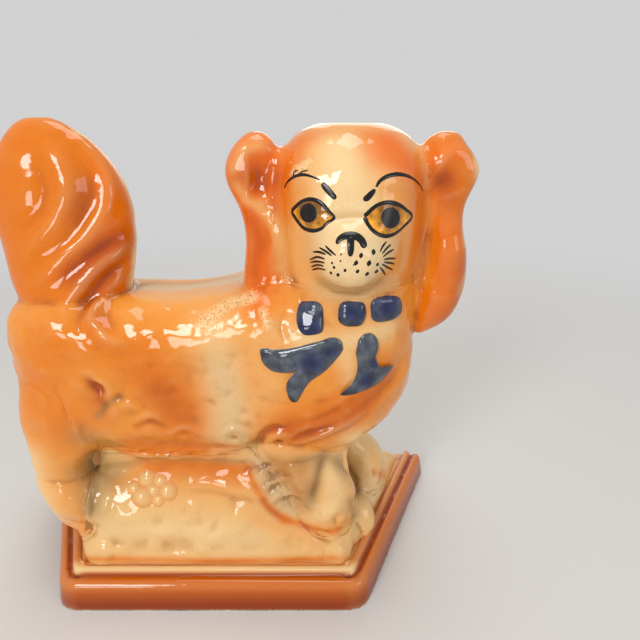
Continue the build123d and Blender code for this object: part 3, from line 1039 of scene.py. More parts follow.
@dataclass(eq=False)
class Overlay:
    """Enamel and sprigs that lie on the skin, placed by the photograph's pixels."""

    skin: Skin
    points: list[np.ndarray] = field(default_factory=list)
    faces: list[list[int]] = field(default_factory=list)
    count: int = 0
    # A brushed line's section, in half widths across and in its height up: the two ends go into the glaze.
    section: Points = ((-1, -0.75), (-1, 0), (-0.7, 0.65), (0, 1), (0.7, 0.65), (1, 0), (1, -0.75))
    # How blunt a brushed line's two tips are, and the least half width that they are rounded by.
    bluntness: float = 0.02
    thinnest_mm: float = 0.01
    # The rings of a filled shape, as shares of its outline, and how deep its rim goes into the glaze.
    rings: tuple[float, ...] = (1.0, 0.97, 0.9, 0.8, 0.66, 0.5, 0.34, 0.18)
    sunk_mm: float = 0.5
    # The turn between faces from which an edge is shaded sharp.
    sharp_deg: float = 50.0

    def keep(self, points: np.ndarray, faces: list[list[int]]) -> None:
        """Adds one closed form to the piece.

        Args:
            points: Its vertices in millimetres.
            faces: Its faces' vertex numbers.
        """
        self.points.append(points)
        self.faces.extend([[corner + self.count for corner in face] for face in faces])
        self.count += len(points)

    def line(self, points: Points, widths: tuple[float, ...], lift: float = 0.16) -> None:
        """Lays one brushed line.

        Args:
            points: The line's pixels.
            widths: Its whole width in millimetres at even steps along it.
            lift: Its height over the skin in millimetres.
        """
        found = [self.skin.seen_at(*point) for point in curve_through(points, 8)]
        path = np.array([f[0] for f in found])
        up = np.array([f[1] for f in found])
        share = np.linspace(0, 1, len(path))
        width = np.interp(share, np.linspace(0, 1, len(widths)), widths) / 2
        length = np.concatenate([[0], np.cumsum(np.linalg.norm(np.diff(path, axis=0), axis=1))])
        to_end = np.minimum(length, length[-1] - length)
        round_off = np.clip(to_end / np.maximum(width, self.thinnest_mm), 0, 1)
        width = width * np.sqrt(np.maximum(1 - (1 - round_off) ** 2, self.bluntness))
        left = np.cross(up, np.gradient(path, axis=0))
        left /= np.maximum(np.linalg.norm(left, axis=1), TINY)[:, None]
        rows = [path + left * (width * across)[:, None] + up * (lift * high) for across, high in self.section]
        grid = np.stack(rows, axis=1)
        size = len(self.section)
        faces = ring_faces(len(path) - 1, size)
        faces.append(list(range(size))[::-1])
        faces.append([(len(path) - 1) * size + column for column in range(size)])
        self.keep(grid.reshape(-1, 3), faces)

    def patch(self, outline: Points, height: float, dome: float, lift: float = 0.05, parts: int = 5,
              edge: float = 0.5) -> np.ndarray:
        """Lays one filled, domed shape.

        Args:
            outline: The pixels of its outline, going round.
            height: Its height at the middle in millimetres.
            dome: How soon it rises: a low share is a flat pad with a round edge.
            lift: The height of its rim.
            parts: The steps between one outline point and the next.
            edge: How softly it starts at its rim: 0.5 is a round edge, and above 1 it runs out thin.

        Returns:
            How far in from the rim each of its vertices lies, from 0 to 1.
        """
        ring = curve_through((*outline, outline[0]), parts)[:-1]
        middle = ring.mean(axis=0)
        points, inward = [], []
        for share in self.rings:
            for pixel in middle + (ring - middle) * share:
                place, up = self.skin.seen_at(*pixel)
                rise = lift + height * (1 - share ** (1 / dome)) ** edge
                points.append(place + up * rise)
                inward.append(1 - share)
        place, up = self.skin.seen_at(*middle)
        points.append(place + up * (lift + height))
        inward.append(1.0)
        size = len(ring)
        for pixel in ring:
            place, up = self.skin.seen_at(*pixel)
            points.append(place - up * self.sunk_mm)
            inward.append(0.0)
        tip = len(self.rings) * size
        under, last = tip + 1, tip - size
        faces = ring_faces(len(self.rings) - 1, size)
        faces += [[last + column, last + (column + 1) % size, tip] for column in range(size)]
        faces += [[under + column, under + (column + 1) % size, (column + 1) % size, column]
                  for column in range(size)]
        faces.append([under + column for column in range(size)][::-1])
        self.keep(np.array(points), faces)
        return np.array(inward)

    def piece(self, name: str, colours: np.ndarray | None = None) -> bpy.types.Object:
        """The finished piece, its faces turned outwards.

        Args:
            name: Its name.
            colours: Linear colours for its vertices, if it has a wash.

        Returns:
            The object.
        """
        made = mesh_piece(name, np.vstack(self.points), self.faces)
        only(made)
        bpy.ops.object.mode_set(mode="EDIT")
        bpy.ops.mesh.select_all(action="SELECT")
        bpy.ops.mesh.normals_make_consistent(inside=False)
        bpy.ops.object.mode_set(mode="OBJECT")
        if colours is not None:
            attribute = made.data.attributes.new("airbrush", "FLOAT_COLOR", "POINT")
            attribute.data.foreach_set("color", np.hstack([colours, np.ones((len(colours), 1))])
                                       .astype(np.float32).ravel())
        bpy.ops.object.shade_smooth_by_angle(angle=math.radians(self.sharp_deg))
        return made


# Seams of the castings that are rubbed smooth before the clay is worked.
RUBBED_SEAMS = (
    Stroke(((455, 205), (458, 235), (455, 268)), 12.0, 1.0),
    Stroke(((254, 200), (258, 240), (258, 270)), 9.0, 0.9),
    Stroke(((284, 146), (282, 190), (279, 240), (281, 292)), 5.0, 0.9),
    Stroke(((425, 150), (429, 190), (427, 250), (420, 300)), 5.0, 0.9),
    Stroke(((311, 258), (321, 284), (350, 295), (379, 284), (391, 258)), 5.0, 0.8),
    Stroke(((40, 330), (80, 336), (130, 338), (165, 325)), 9.0, 1.0),
    Stroke(((248, 300), (262, 312), (285, 305), (300, 298)), 6.0, 0.8),
    Stroke(((245, 460), (290, 464), (330, 456), (356, 440)), 7.0, 0.9),
    Stroke(((20, 380), (60, 400), (90, 440)), 9.0, 0.9),
    Stroke(((90, 532), (160, 538), (240, 540), (310, 542)), 9.0, 1.0),
    Stroke(((95, 458), (160, 458), (245, 462)), 4.0, 0.7),
    Stroke(((262, 505), (282, 522), (310, 534), (345, 530)), 5.0, 0.8),
    Stroke(((340, 500), (352, 520), (352, 545)), 7.0, 1.0),
    Stroke(((370, 470), (378, 495), (372, 525)), 6.0, 1.0),
)
# Whole edges that the worn mould has rounded away: the muzzle's border, the bank's top, ends and foot.
WORN_FORMS = (
    Stroke(((312, 240), (308, 262), (322, 284), (350, 294), (380, 284), (394, 260), (388, 238)), 9.0, 0.85),
    Stroke(((90, 466), (150, 468), (200, 470), (240, 474)), 9.0, 0.9),
    Stroke(((88, 536), (160, 538), (240, 540), (320, 542)), 11.0, 1.0),
    Stroke(((-75, -37, 26), (-75, -36, 56), (-72, -32, 84)), 15.0, 1.0, Place.FIGURE),
    Stroke(((-73, 36, 30), (-73, 34, 58), (-70, 30, 84)), 15.0, 1.0, Place.FIGURE),
    Stroke(((50, 37, 30), (48, 34, 58), (46, 30, 84)), 15.0, 1.0, Place.FIGURE),
    Stroke(((62, -34, 30), (80, -16, 32), (92, 10, 33), (102, 36, 32)), 13.0, 1.0, Place.FIGURE),
    Stroke(((284, 152), (282, 190), (279, 240), (281, 292)), 5.0, 0.9),
    Stroke(((425, 154), (429, 190), (427, 222)), 4.0, 0.7),
    Stroke(((252, 456), (267, 474), (283, 494), (300, 514)), 9.0, 1.0),
    Stroke(((350, 466), (358, 488), (356, 508), (344, 532)), 7.0, 1.0),
    Stroke(((100, 450), (150, 449), (200, 448), (246, 449)), 5.0, 0.9),
    Stroke(((37, 10, 172), (50, 28, 172), (71, 32, 172), (95, 26, 172), (106, 8, 172)), 9.0, 1.0, Place.FIGURE),
    Stroke(((-92, 12, 160), (-66, 19, 161), (-40, 12, 162)), 8.0, 1.0, Place.FIGURE),
)
# Muzzle, brows, ear lobes and their hollows, the tail's long locks, haunch, shoulder and the bank's foot.
LARGE_FORMS = (
    Stroke(((-112, -40, 20), (-40, -41, 20), (20, -41, 20), (68, -41, 20)), 7.5, 2.6, Place.FIGURE),
    Stroke(((73, -38, 21), (90, 0, 21), (108, 40, 21)), 8.0, 3.4, Place.FIGURE),
    Stroke(((-74, -30, 40), (-74, -28, 66)), 17.0, 6.0, Place.FIGURE),
    Stroke(((-66, -39, 62), (-40, -37, 78)), 11.0, -1.6, Place.FIGURE),
    Stroke(((362, 496), (362, 518), (356, 540)), 8.0, 4.6),
    Stroke(((58, -42, 19), (69, -40, 19), (76, -30, 19)), 8.0, 3.6, Place.FIGURE),
    Stroke(((-54, -42, 20), (-70, -41, 20), (-80, -32, 20)), 9.0, 4.6, Place.FIGURE),
    Stroke(((258, 464), (270, 484), (288, 505)), 9.0, 4.6),
    Stroke(((296, 470), (304, 492)), 8.0, 1.2),
    Stroke(((334, 262),), 9.0, 0.9),
    Stroke(((370, 262),), 9.0, 0.9),
    Stroke(((350, 246),), 5.0, 1.2),
    Stroke(((350, 284),), 6.0, 1.0),
    Stroke(((314, 214),), 7.0, 0.8),
    Stroke(((388, 217),), 7.0, 0.8),
    Stroke(((286, 187), (305, 179), (324, 183)), 4.5, 1.0),
    Stroke(((372, 183), (395, 178), (418, 188)), 4.5, 1.0),
    Stroke(((330, 158), (370, 158)), 12.0, 0.9),
    Stroke(((350, 194), (350, 226)), 7.0, -0.6),
    Stroke(((242, 202), (231, 184), (231, 164), (242, 149), (260, 145), (276, 152), (288, 168)), 4.6, 1.7),
    Stroke(((246, 177), (258, 178), (271, 180)), 9.5, -3.4),
    Stroke(((244, 202), (262, 199), (281, 192)), 3.4, 1.1),
    Stroke(((246, 202), (262, 212), (272, 226), (275, 244), (271, 260), (277, 276)), 3.2, 1.4),
    Stroke(((249, 214), (256, 230), (259, 248), (256, 270), (258, 292)), 4.2, -1.5),
    Stroke(((437, 172), (447, 180), (451, 196)), 7.4, -2.8),
    Stroke(((433, 180), (437, 164), (447, 153), (460, 150), (471, 157), (476, 171), (470, 190)), 4.2, 1.2),
    Stroke(((430, 186), (429, 215), (427, 250), (421, 287)), 3.4, -1.1),
    Stroke(((450, 236), (454, 262), (448, 294)), 10.0, 1.0),
    Stroke(((440, 222), (436, 258), (440, 300)), 3.6, -0.6),
    Stroke(((84, 138), (102, 166), (108, 192), (98, 220), (76, 246), (46, 276)), 4.6, 1.7),
    Stroke(((66, 136), (86, 166), (92, 194), (80, 222), (58, 248), (30, 272)), 5.2, -2.0),
    Stroke(((44, 134), (62, 166), (66, 196), (52, 224), (26, 252)), 5.0, 1.3),
    Stroke(((24, 150), (40, 180), (38, 210), (18, 236)), 5.0, -1.5),
    Stroke(((136, 224), (118, 239), (98, 250), (76, 264), (44, 292)), 4.6, -2.4),
    Stroke(((132, 240), (114, 254), (97, 269), (78, 292), (54, 318)), 4.2, 2.0),
    Stroke(((130, 258), (112, 272), (97, 288), (84, 308), (70, 328)), 3.8, -2.0),
    Stroke(((133, 264), (116, 280), (101, 295), (93, 310), (96, 326), (112, 340), (138, 344)), 4.0, 1.7),
    Stroke(((108, 300), (106, 316), (118, 328), (136, 330)), 4.4, -1.1),
    Stroke(((56, 392),), 24.0, 1.6),
    Stroke(((274, 368), (270, 400)), 17.0, 1.4),
    Stroke(((212, 352), (220, 404)), 15.0, -0.8),
    Stroke(((404, 340), (401, 362), (390, 382), (370, 402), (350, 416)), 3.0, -0.8),
    Stroke(((412, 338), (409, 362), (398, 384), (378, 405), (360, 420)), 3.0, 0.7),
    Stroke(((92, 524), (160, 530), (240, 532), (306, 536)), 8.0, 2.4),
    Stroke(((90, 505), (130, 520), (180, 515)), 14.0, 1.6),
    Stroke(((345, 470), (352, 490), (350, 510)), 7.0, 1.8),
    Stroke(((364, 462), (366, 478)), 7.0, 1.0),
    Stroke(((112, 452), (160, 453), (200, 454), (244, 457)), 4.6, 2.6),
    Stroke(((116, 446), (160, 446), (200, 446), (244, 450)), 3.6, 1.6),
)
# Locks of hair, curls, feathering, paws and lumps of rock.
LOCKS = (
    Stroke(((76, 372), (92, 380), (104, 392), (106, 410)), 3.6, 1.6, profile=Profile.STEP),
    Stroke(((98, 382), (97, 396)), 4.0, -1.9),
    Stroke(((123, 394), (110, 402), (97, 418)), 3.0, -1.6),
    Stroke(((118, 408), (130, 404), (143, 411)), 3.0, 1.3),
    Stroke(((136, 424), (150, 418), (166, 424)), 3.2, 1.2, profile=Profile.STEP),
    Stroke(((170, 438), (184, 430), (200, 436)), 3.2, 1.2, profile=Profile.STEP),
    Stroke(((160, 392), (174, 386), (188, 394)), 3.4, 0.6, profile=Profile.STEP),
    Stroke(((196, 404), (210, 398), (222, 406)), 3.2, 0.6, profile=Profile.STEP),
    Stroke(((222, 442), (228, 431), (239, 429), (246, 437), (241, 448)), 2.2, 1.7),
    Stroke(((234, 439),), 2.4, -1.5),
    Stroke(((240, 421), (250, 417), (258, 425)), 2.4, 1.1),
    Stroke(((259, 446), (262, 435), (273, 428), (288, 429)), 2.3, -1.8),
    Stroke(((265, 447), (270, 438), (279, 434), (290, 437)), 2.4, 1.9),
    Stroke(((276, 443), (283, 441)), 2.0, -1.6),
    Stroke(((342, 424), (322, 430), (302, 437), (286, 446)), 2.4, -1.5),
    Stroke(((286, 446), (306, 443), (332, 434), (352, 424), (372, 408)), 2.6, 1.3, profile=Profile.STEP),
    Stroke(((290, 424), (314, 420), (340, 408), (364, 393)), 2.4, -0.8),
    Stroke(((300, 404), (322, 402), (342, 394)), 2.6, -0.6),
    Stroke(((262, 300), (262, 312), (268, 322), (276, 318)), 2.2, 0.8),
    Stroke(((286, 306), (280, 320), (282, 336), (292, 346)), 2.6, -0.8),
    Stroke(((132, 447), (144, 453), (156, 449)), 3.2, 1.2),
    Stroke(((160, 452), (174, 456), (188, 450)), 3.0, 1.1),
    Stroke(((194, 449), (208, 455), (220, 451)), 3.2, 1.2),
    Stroke(((226, 455), (238, 458), (250, 453)), 3.0, 1.2),
    Stroke(((100, 500), (112, 504)), 6.0, 1.0),
    Stroke(((186, 506), (202, 510)), 6.0, 0.9),
    Stroke(((232, 522), (250, 526)), 6.5, 1.0),
    Stroke(((150, 516), (166, 522)), 6.0, -0.8),
    Stroke(((208, 526), (218, 534)), 5.0, -0.8),
    Stroke(((276, 532), (290, 538)), 5.0, 0.9),
    Stroke(((226, 500), (240, 510)), 5.0, -0.8),
    Stroke(((146, 462), (112, 466), (82, 462)), 3.0, -1.2),
    Stroke(((256, 482), (266, 473), (280, 469)), 2.6, 1.3, profile=Profile.STEP),
    Stroke(((262, 496), (272, 484), (288, 480)), 2.6, 1.2, profile=Profile.STEP),
    Stroke(((272, 508), (280, 498), (296, 496)), 2.6, 1.0, profile=Profile.STEP),
    Stroke(((286, 458), (293, 470), (299, 486), (304, 500)), 3.6, 1.2),
    Stroke(((324, 452), (320, 470), (314, 492), (308, 506)), 3.4, -1.8),
    Stroke(((331, 466), (337, 480), (338, 494)), 5.0, 1.3),
    Stroke(((338, 460), (350, 472), (357, 486), (354, 500)), 2.8, -1.8),
    Stroke(((311, 506),), 4.2, 1.3),
    Stroke(((335, 508),), 4.6, 1.5),
    Stroke(((326, 519),), 4.0, 1.4),
    Stroke(((342, 518),), 3.6, 1.2),
    Stroke(((365, 459),), 4.6, 1.2),
    Stroke(((378, 470),), 4.0, 1.0),
    Stroke(((372, 492), (368, 508), (372, 524)), 3.0, 0.9),
    Stroke(((185, 487), (212, 488), (236, 495), (250, 497), (262, 506)), 3.6, 1.3, profile=Profile.STEP),
    Stroke(((182, 522), (189, 518), (196, 522)), 2.4, 0.9),
    Stroke(((156, 538), (155, 552)), 3.4, 1.0),
    Stroke(((204, 544), (198, 554)), 3.4, 1.0),
    Stroke(((337, 549),), 4.0, 1.5),
    Stroke(((334, 535),), 3.2, 1.2),
    Stroke(((92, 544), (112, 550), (130, 547)), 3.0, 1.2),
    Stroke(((300, 546), (312, 551)), 3.4, 1.0),
    Stroke(((112, 512), (126, 518), (146, 514)), 4.0, 0.9),
)
# The sharp creases of the wooden tool.
CREASES = (
    Stroke(((321, 284), (334, 292), (350, 295.5), (366, 292), (381, 282)), 1.8, -0.9),
    Stroke(((256, 475), (260, 468), (269, 465), (270, 470), (262, 475)), 1.3, -1.0),
    Stroke(((261, 490), (267, 482), (277, 475)), 1.5, -1.3),
    Stroke(((268, 494), (272, 488), (278, 485)), 1.3, -1.1),
    Stroke(((283, 505), (285, 499), (291, 497), (299, 499)), 1.3, -1.0),
    Stroke(((278, 479), (286, 476), (295, 478)), 1.3, -0.8),
    Stroke(((280, 466), (290, 463), (304, 462), (318, 458)), 1.3, -0.7),
    Stroke(((244, 464), (253, 482), (264, 500), (279, 516), (295, 523)), 2.4, -0.7),
    Stroke(((295, 522), (310, 529), (323, 533), (336, 531), (348, 524)), 2.0, -0.7),
    Stroke(((319, 511), (322, 524)), 1.3, -0.8),
    Stroke(((334, 516), (337, 528)), 1.3, -0.8),
    Stroke(((362, 456), (368, 455), (370, 461), (364, 464)), 1.2, 0.7),
    Stroke(((372, 470), (376, 480)), 1.4, -0.7),
)


# The airbrush passes over the dog and its ground, first to last; some lay painted shade in creases, under the chin
# and in recesses, and some lay painted highlights on the ears' ridges.
SPRAY_PASSES = (
    Spray(((292, 150), (285, 180), (286, 210)), 10.0, Tone.ORANGE, 0.85),
    Spray(((300, 146), (292, 168)), 9.0, Tone.BRIGHT_ORANGE, 0.6),
    Spray(((302, 140), (340, 134), (388, 140)), 6.0, Tone.ORANGE, 0.6),
    Spray(((392, 146), (412, 170), (421, 204), (418, 236)), 10.0, Tone.BRIGHT_ORANGE, 0.85),
    Spray(((380, 158), (402, 168)), 9.0, Tone.BRIGHT_ORANGE, 0.75),
    Spray(((334, 148), (342, 166), (348, 184)), 10.0, Tone.CREAM, 0.8),
    Spray(((318, 160), (312, 172)), 6.0, Tone.PEACH, 0.6),
    Spray(((328, 206), (350, 202), (372, 207)), 13.0, Tone.CREAM, 0.9),
    # Painted shade: greyed cream over the muzzle's lower part and under the chin.
    Spray(((326, 262), (350, 272), (376, 262)), 14.0, Tone.SMOKED_CREAM, 0.75),
    Spray(((320, 290), (350, 298), (384, 288)), 5.0, Tone.SMOKED_CREAM, 0.6),
    Spray(((292, 236), (300, 264), (318, 284)), 8.0, Tone.PEACH, 0.7),
    Spray(((404, 236), (400, 264), (384, 284)), 7.0, Tone.APRICOT, 0.5),
    Spray(((290, 190), (302, 192)), 5.0, Tone.APRICOT, 0.6),
    Spray(((388, 192), (408, 198)), 5.0, Tone.APRICOT, 0.7),
    Spray(((334, 258), (352, 264), (370, 258)), 10.0, Tone.PALE_CREAM, 0.85),
    Spray(((340, 222), (352, 212), (362, 222)), 8.0, Tone.PALE_CREAM, 0.75),
    Spray(((336, 160), (344, 178)), 8.0, Tone.PALE_CREAM, 0.5),
    Spray(((419, 200), (418, 236), (410, 270)), 6.5, Tone.ORANGE, 0.65),
    Spray(((285, 206), (285, 240), (288, 268)), 5.0, Tone.ORANGE, 0.5),
    Spray(((240, 160), (258, 158), (270, 176), (262, 190)), 11.0, Tone.BRIGHT_ORANGE, 0.95),
    Spray(((250, 212), (257, 250), (260, 282), (262, 304)), 9.0, Tone.BRIGHT_ORANGE, 0.95),
    # Painted shade: rust in the left ear's hollow and along its groove.
    Spray(((246, 176), (258, 178), (270, 181)), 8.5, Tone.RUST, 0.6),
    Spray(((251, 220), (257, 246), (254, 272)), 4.5, Tone.RUST, 0.45),
    # Painted highlights: peach along the left ear's ridges and rims.
    Spray(((262, 207), (274, 224), (281, 244), (280, 268)), 3.4, Tone.PEACH, 0.7),
    Spray(((234, 168), (242, 152), (258, 146)), 2.6, Tone.PEACH, 0.6),
    Spray(((238, 186), (246, 200), (262, 208)), 2.4, Tone.PEACH, 0.6),
    # Painted shade in the right ear's hollow.
    Spray(((436, 176), (446, 182), (448, 200)), 6.0, Tone.RUST, 0.6),
    Spray(((452, 226), (454, 258), (450, 292), (440, 318)), 8.0, Tone.BRIGHT_ORANGE, 0.5),
    Spray(((436, 158), (448, 152), (456, 150)), 5.0, Tone.BRIGHT_ORANGE, 0.8),
    Spray(((430, 208), (428, 240), (424, 280)), 4.0, Tone.APRICOT, 0.6),
    Spray(((476, 158), (478, 176), (470, 198), (466, 230), (468, 262), (460, 292)), 2.4, Tone.PALE_CREAM, 0.75),
    Spray(((80, 130), (107, 150), (128, 180), (136, 205), (138, 235), (134, 262)), 2.6, Tone.PALE_CREAM, 0.8),
    Spray(((110, 176), (122, 206), (118, 232)), 9.0, Tone.BRIGHT_ORANGE, 0.5),
    # Painted shade: rust in the tail's grooves and dark rust in its hollow.
    Spray(((124, 240), (98, 254), (70, 276)), 5.0, Tone.RUST, 0.8),
    Spray(((112, 276), (92, 300), (98, 324)), 6.0, Tone.RUST, 0.7),
    Spray(((84, 190), (78, 214)), 6.0, Tone.DARK_RUST, 0.35),
    Spray(((90, 340), (120, 352), (146, 352)), 12.0, Tone.ORANGE, 0.8),
    Spray(((50, 350), (40, 390), (60, 420)), 20.0, Tone.ORANGE, 0.8),
    Spray(((148, 376), (176, 396), (190, 426)), 15.0, Tone.ORANGE, 0.95),
    Spray(((160, 392), (176, 412)), 10.0, Tone.RUST, 0.5),
    # Painted shade in a crease of the flank's locks.
    Spray(((96, 396), (104, 412)), 7.0, Tone.RUST, 0.4),
    Spray(((150, 298), (190, 298), (228, 292)), 7.0, Tone.PEACH, 0.8),
    Spray(((214, 330), (222, 364), (230, 400), (228, 440)), 11.0, Tone.CREAM, 0.7),
    Spray(((256, 340), (268, 372), (266, 404)), 9.0, Tone.PEACH, 0.7),
    Spray(((284, 428), (318, 418), (352, 400), (378, 376)), 11.0, Tone.ORANGE, 1.0),
    Spray(((296, 438), (330, 432), (360, 412)), 6.0, Tone.RUST, 0.35),
    Spray(((284, 330), (320, 345), (352, 340), (388, 330)), 7.0, Tone.CREAM, 0.9),
    Spray(((348, 360), (350, 378)), 5.0, Tone.CREAM, 0.6),
    Spray(((400, 336), (404, 362)), 5.0, Tone.APRICOT, 0.7),
    Spray(((270, 300), (282, 318), (284, 334)), 5.0, Tone.APRICOT, 0.7),
    Spray(((328, 312), (334, 330)), 4.0, Tone.PEACH, 0.6),
    Spray(((132, 446), (180, 450), (232, 448)), 5.0, Tone.ORANGE, 0.7),
    # Painted shade low on the flank beside the hind leg.
    Spray(((82, 436), (112, 444)), 8.0, Tone.OLIVE, 0.5),
    Spray(((256, 464), (268, 484), (284, 502)), 9.0, Tone.SMOKED_CREAM, 0.9),
    Spray(((276, 464), (300, 466), (330, 460)), 6.0, Tone.OCHRE, 0.7),
    Spray(((288, 474), (300, 484), (302, 500)), 8.0, Tone.OCHRE, 0.75),
    Spray(((328, 470), (336, 486), (334, 506), (318, 516)), 8.0, Tone.CREAM, 0.9),
    Spray(((260, 470), (268, 466)), 2.0, Tone.SHADOW, 0.45),
    Spray(((262, 489), (268, 482), (276, 476)), 1.8, Tone.SHADOW, 0.5),
    Spray(((269, 493), (276, 486)), 1.6, Tone.SHADOW, 0.4),
    # Painted shade in the foreleg's creases and between the paw and the far lump.
    Spray(((322, 456), (318, 474), (312, 497), (308, 506)), 3.6, Tone.OLIVE, 0.65),
    Spray(((300, 460), (312, 458), (326, 456)), 3.0, Tone.OLIVE, 0.5),
    Spray(((336, 460), (350, 474), (357, 490)), 4.0, Tone.OLIVE, 0.7),
    # Painted shade under the chin.
    Spray(((322, 282), (350, 291), (380, 281)), 4.0, Tone.OLIVE, 0.45),
    Spray(((462, 262), (458, 296), (440, 322)), 6.0, Tone.RUST, 0.6),
    Spray(((120, 250), (100, 262), (84, 276)), 8.0, Tone.RUST, 0.6),
    Spray(((296, 432), (330, 428), (366, 404), (384, 380)), 8.0, Tone.RUST, 0.5),
    Spray(((140, 440), (176, 444), (214, 446)), 7.0, Tone.RUST, 0.4),
    Spray(((354, 440), (366, 452), (376, 470), (372, 500)), 9.0, Tone.CREAM, 0.9),
    Spray(((372, 456), (384, 468)), 5.0, Tone.PEACH, 0.7),
    # Painted shade between the paw and the rock.
    Spray(((350, 500), (354, 514)), 3.0, Tone.OLIVE, 0.5),
    Spray(((166, 476), (206, 482), (246, 492)), 14.0, Tone.APRICOT, 0.5),
    Spray(((260, 520), (290, 532), (318, 540)), 6.0, Tone.APRICOT, 0.4),
    Spray(((110, 530), (180, 532), (250, 540)), 9.0, Tone.PALE_CREAM, 0.4),
    Spray(((150, 466), (190, 466), (236, 470)), 8.0, Tone.ORANGE, 0.9),
    Spray(((118, 482), (136, 476)), 5.0, Tone.APRICOT, 0.7),
    # Painted shade in the creases of the curls and the locks.
    Spray(((226, 436), (234, 431), (243, 435), (241, 444)), 1.6, Tone.OLIVE, 0.55),
    Spray(((232, 454), (246, 450), (256, 440)), 3.0, Tone.OLIVE, 0.45),
    Spray(((262, 440), (268, 432), (282, 428)), 1.6, Tone.RUST, 0.7),
    Spray(((90, 380), (98, 388), (100, 400)), 2.4, Tone.RUST, 0.6),
    Spray(((120, 397), (108, 404), (98, 416)), 2.0, Tone.OLIVE, 0.5),
    Spray(((136, 426), (150, 421), (164, 426)), 1.8, Tone.RUST, 0.5),
    Spray(((124, 451), (180, 452), (216, 453)), 4.4, Tone.ORANGE, 0.85),
    Spray(((216, 453), (246, 455)), 4.4, Tone.PEACH, 0.6),
    # Painted shade in the groove under the belly.
    Spray(((140, 458), (190, 459), (244, 461)), 1.8, Tone.OLIVE, 0.5),
    Spray(((138, 288), (190, 287), (238, 279)), 6.0, Tone.SMOKED_CREAM, 0.85),
    Spray(((138, 284), (190, 283), (236, 276)), 4.0, Tone.OLIVE, 0.35),
    Spray(((220, 372), (230, 406), (232, 440)), 10.0, Tone.SMOKED_CREAM, 0.5),
    # Painted shadow of the hind leg over the bank's left end, and painted shade in the recess beside it.
    Spray(((92, 452), (92, 480), (90, 510)), 5.0, Tone.SHADOW, 0.5),
    Spray(((84, 470), (112, 474)), 10.0, Tone.OLIVE, 0.6),
    Spray(((84, 500), (100, 508)), 9.0, Tone.OLIVE, 0.3),
    Spray(((246, 468), (256, 488), (268, 506), (284, 519)), 2.6, Tone.ORANGE, 0.8),
    # Painted shade along the crease under the feathering.
    Spray(((262, 500), (272, 512), (290, 521)), 1.6, Tone.RUST, 0.5),
    Spray(((284, 519), (297, 523), (311, 528), (326, 532), (338, 530)), 2.4, Tone.ORANGE, 0.85),
    Spray(((84, 559), (150, 560), (210, 561), (280, 560), (346, 558)), 2.2, Tone.ORANGE, 0.8),
    Spray(((374, 470), (386, 480), (380, 510), (366, 545)), 2.4, Tone.APRICOT, 0.7),
    Spray(((0, 470), (20, 500), (40, 520)), 12.0, Tone.CREAM, 0.9),
)


@dataclass(frozen=True)
class Casting:
    """One casting: its first slip, and how high and how long the waves of its worn mould are in millimetres."""

    node: str
    coat: Tone
    wave_height_mm: float
    wave_mm: float
    slot: str = "orange_glaze"


@dataclass
class DogCastings:
    """The castings of the dog and its ground: one skin that is carved, sprayed and cut into its pieces."""

    castings: tuple[Casting, ...] = (
        Casting("mound", Tone.GROUND_CREAM, 1.9, 21.0, "cream_glaze"),
        Casting("torso", Tone.APRICOT, 0.95, 10.5),
        Casting("head", Tone.PEACH, 0.12, 14.0),
        Casting("right_ear", Tone.ORANGE, 0.3, 10.0),
        Casting("left_ear", Tone.ORANGE, 0.3, 10.0),
        Casting("tail", Tone.ORANGE, 0.3, 10.0),
        Casting("right_foreleg", Tone.PEACH, 0.5, 8.0),
        Casting("left_foreleg", Tone.CREAM, 0.5, 8.0),
        Casting("right_hindleg", Tone.APRICOT, 0.5, 9.0),
        Casting("left_hindleg", Tone.CREAM, 0.5, 9.0),
    )
    voxel_mm: float = 1.0
    quick_voxel_mm: float = 1.8
    wipes: int = 8
    # Cylinders of clay that close the ground's air hole and the gap behind the left ear.
    fillings: Points = ((0.0, 0.0, 17.5, 6.0, 5.0), (104.0, -8.0, 172.0, 13.0, 34.0))
    # How large the forms are that the rubbed seams and the worn edges lose.
    seam_mm: float = 7.7
    worn_mm: float = 15.0
    # Patches where the glaze crawled: on the shoulder, the brow and the chest, with their half widths.
    pitted: tuple[tuple[Points, float], ...] = (
        (((208, 320), (222, 308), (238, 301), (250, 298)), 5.5),
        (((292, 174), (300, 168), (308, 163)), 3.0),
        (((262, 310), (268, 326)), 2.6),
    )

    def __post_init__(self) -> None:
        """Builds and carves the skin."""
        voxel = self.voxel_mm
        self.skin = Skin(tuple(one.node for one in self.castings), voxel, self.wipes, self.fillings)
        self.skin.rub(RUBBED_SEAMS, self.seam_mm)
        self.skin.rub(WORN_FORMS, self.worn_mm)
        self.skin.carve(LARGE_FORMS)
        self.skin.uneven({one.node: (one.wave_height_mm, one.wave_mm) for one in self.castings})
        self.skin.carve(LOCKS)
        self.skin.carve(CREASES)
        self.stay_inside()

    def stay_inside(self) -> None:
        """Keeps the carved clay within the model's box."""
        low, high = (np.array(corner) / MM for corner in CAD_BOX)
        self.skin.points = np.clip(self.skin.points, low, high)
        self.skin.refresh()

    def spray(self) -> None:
        """Sprays the slips: orange where the front faces the potter, cream on edges, back and ground."""
        self.skin.coat({one.node: one.coat for one in self.castings}, Tone.BACK_CREAM)
        self.skin.spray(SPRAY_PASSES)
        for points, width in self.pitted:
            self.skin.pitted(points, width)

    def finish(self, finishes: Finishes) -> None:
        """Cuts the skin into its pieces and dresses them.

        Args:
            finishes: The figure's finishes.
        """
        pieces = self.skin.pieces("_glazed")
        for one in self.castings:
            dress(pieces[one.node], (one.node,), one.slot, finishes.glaze)


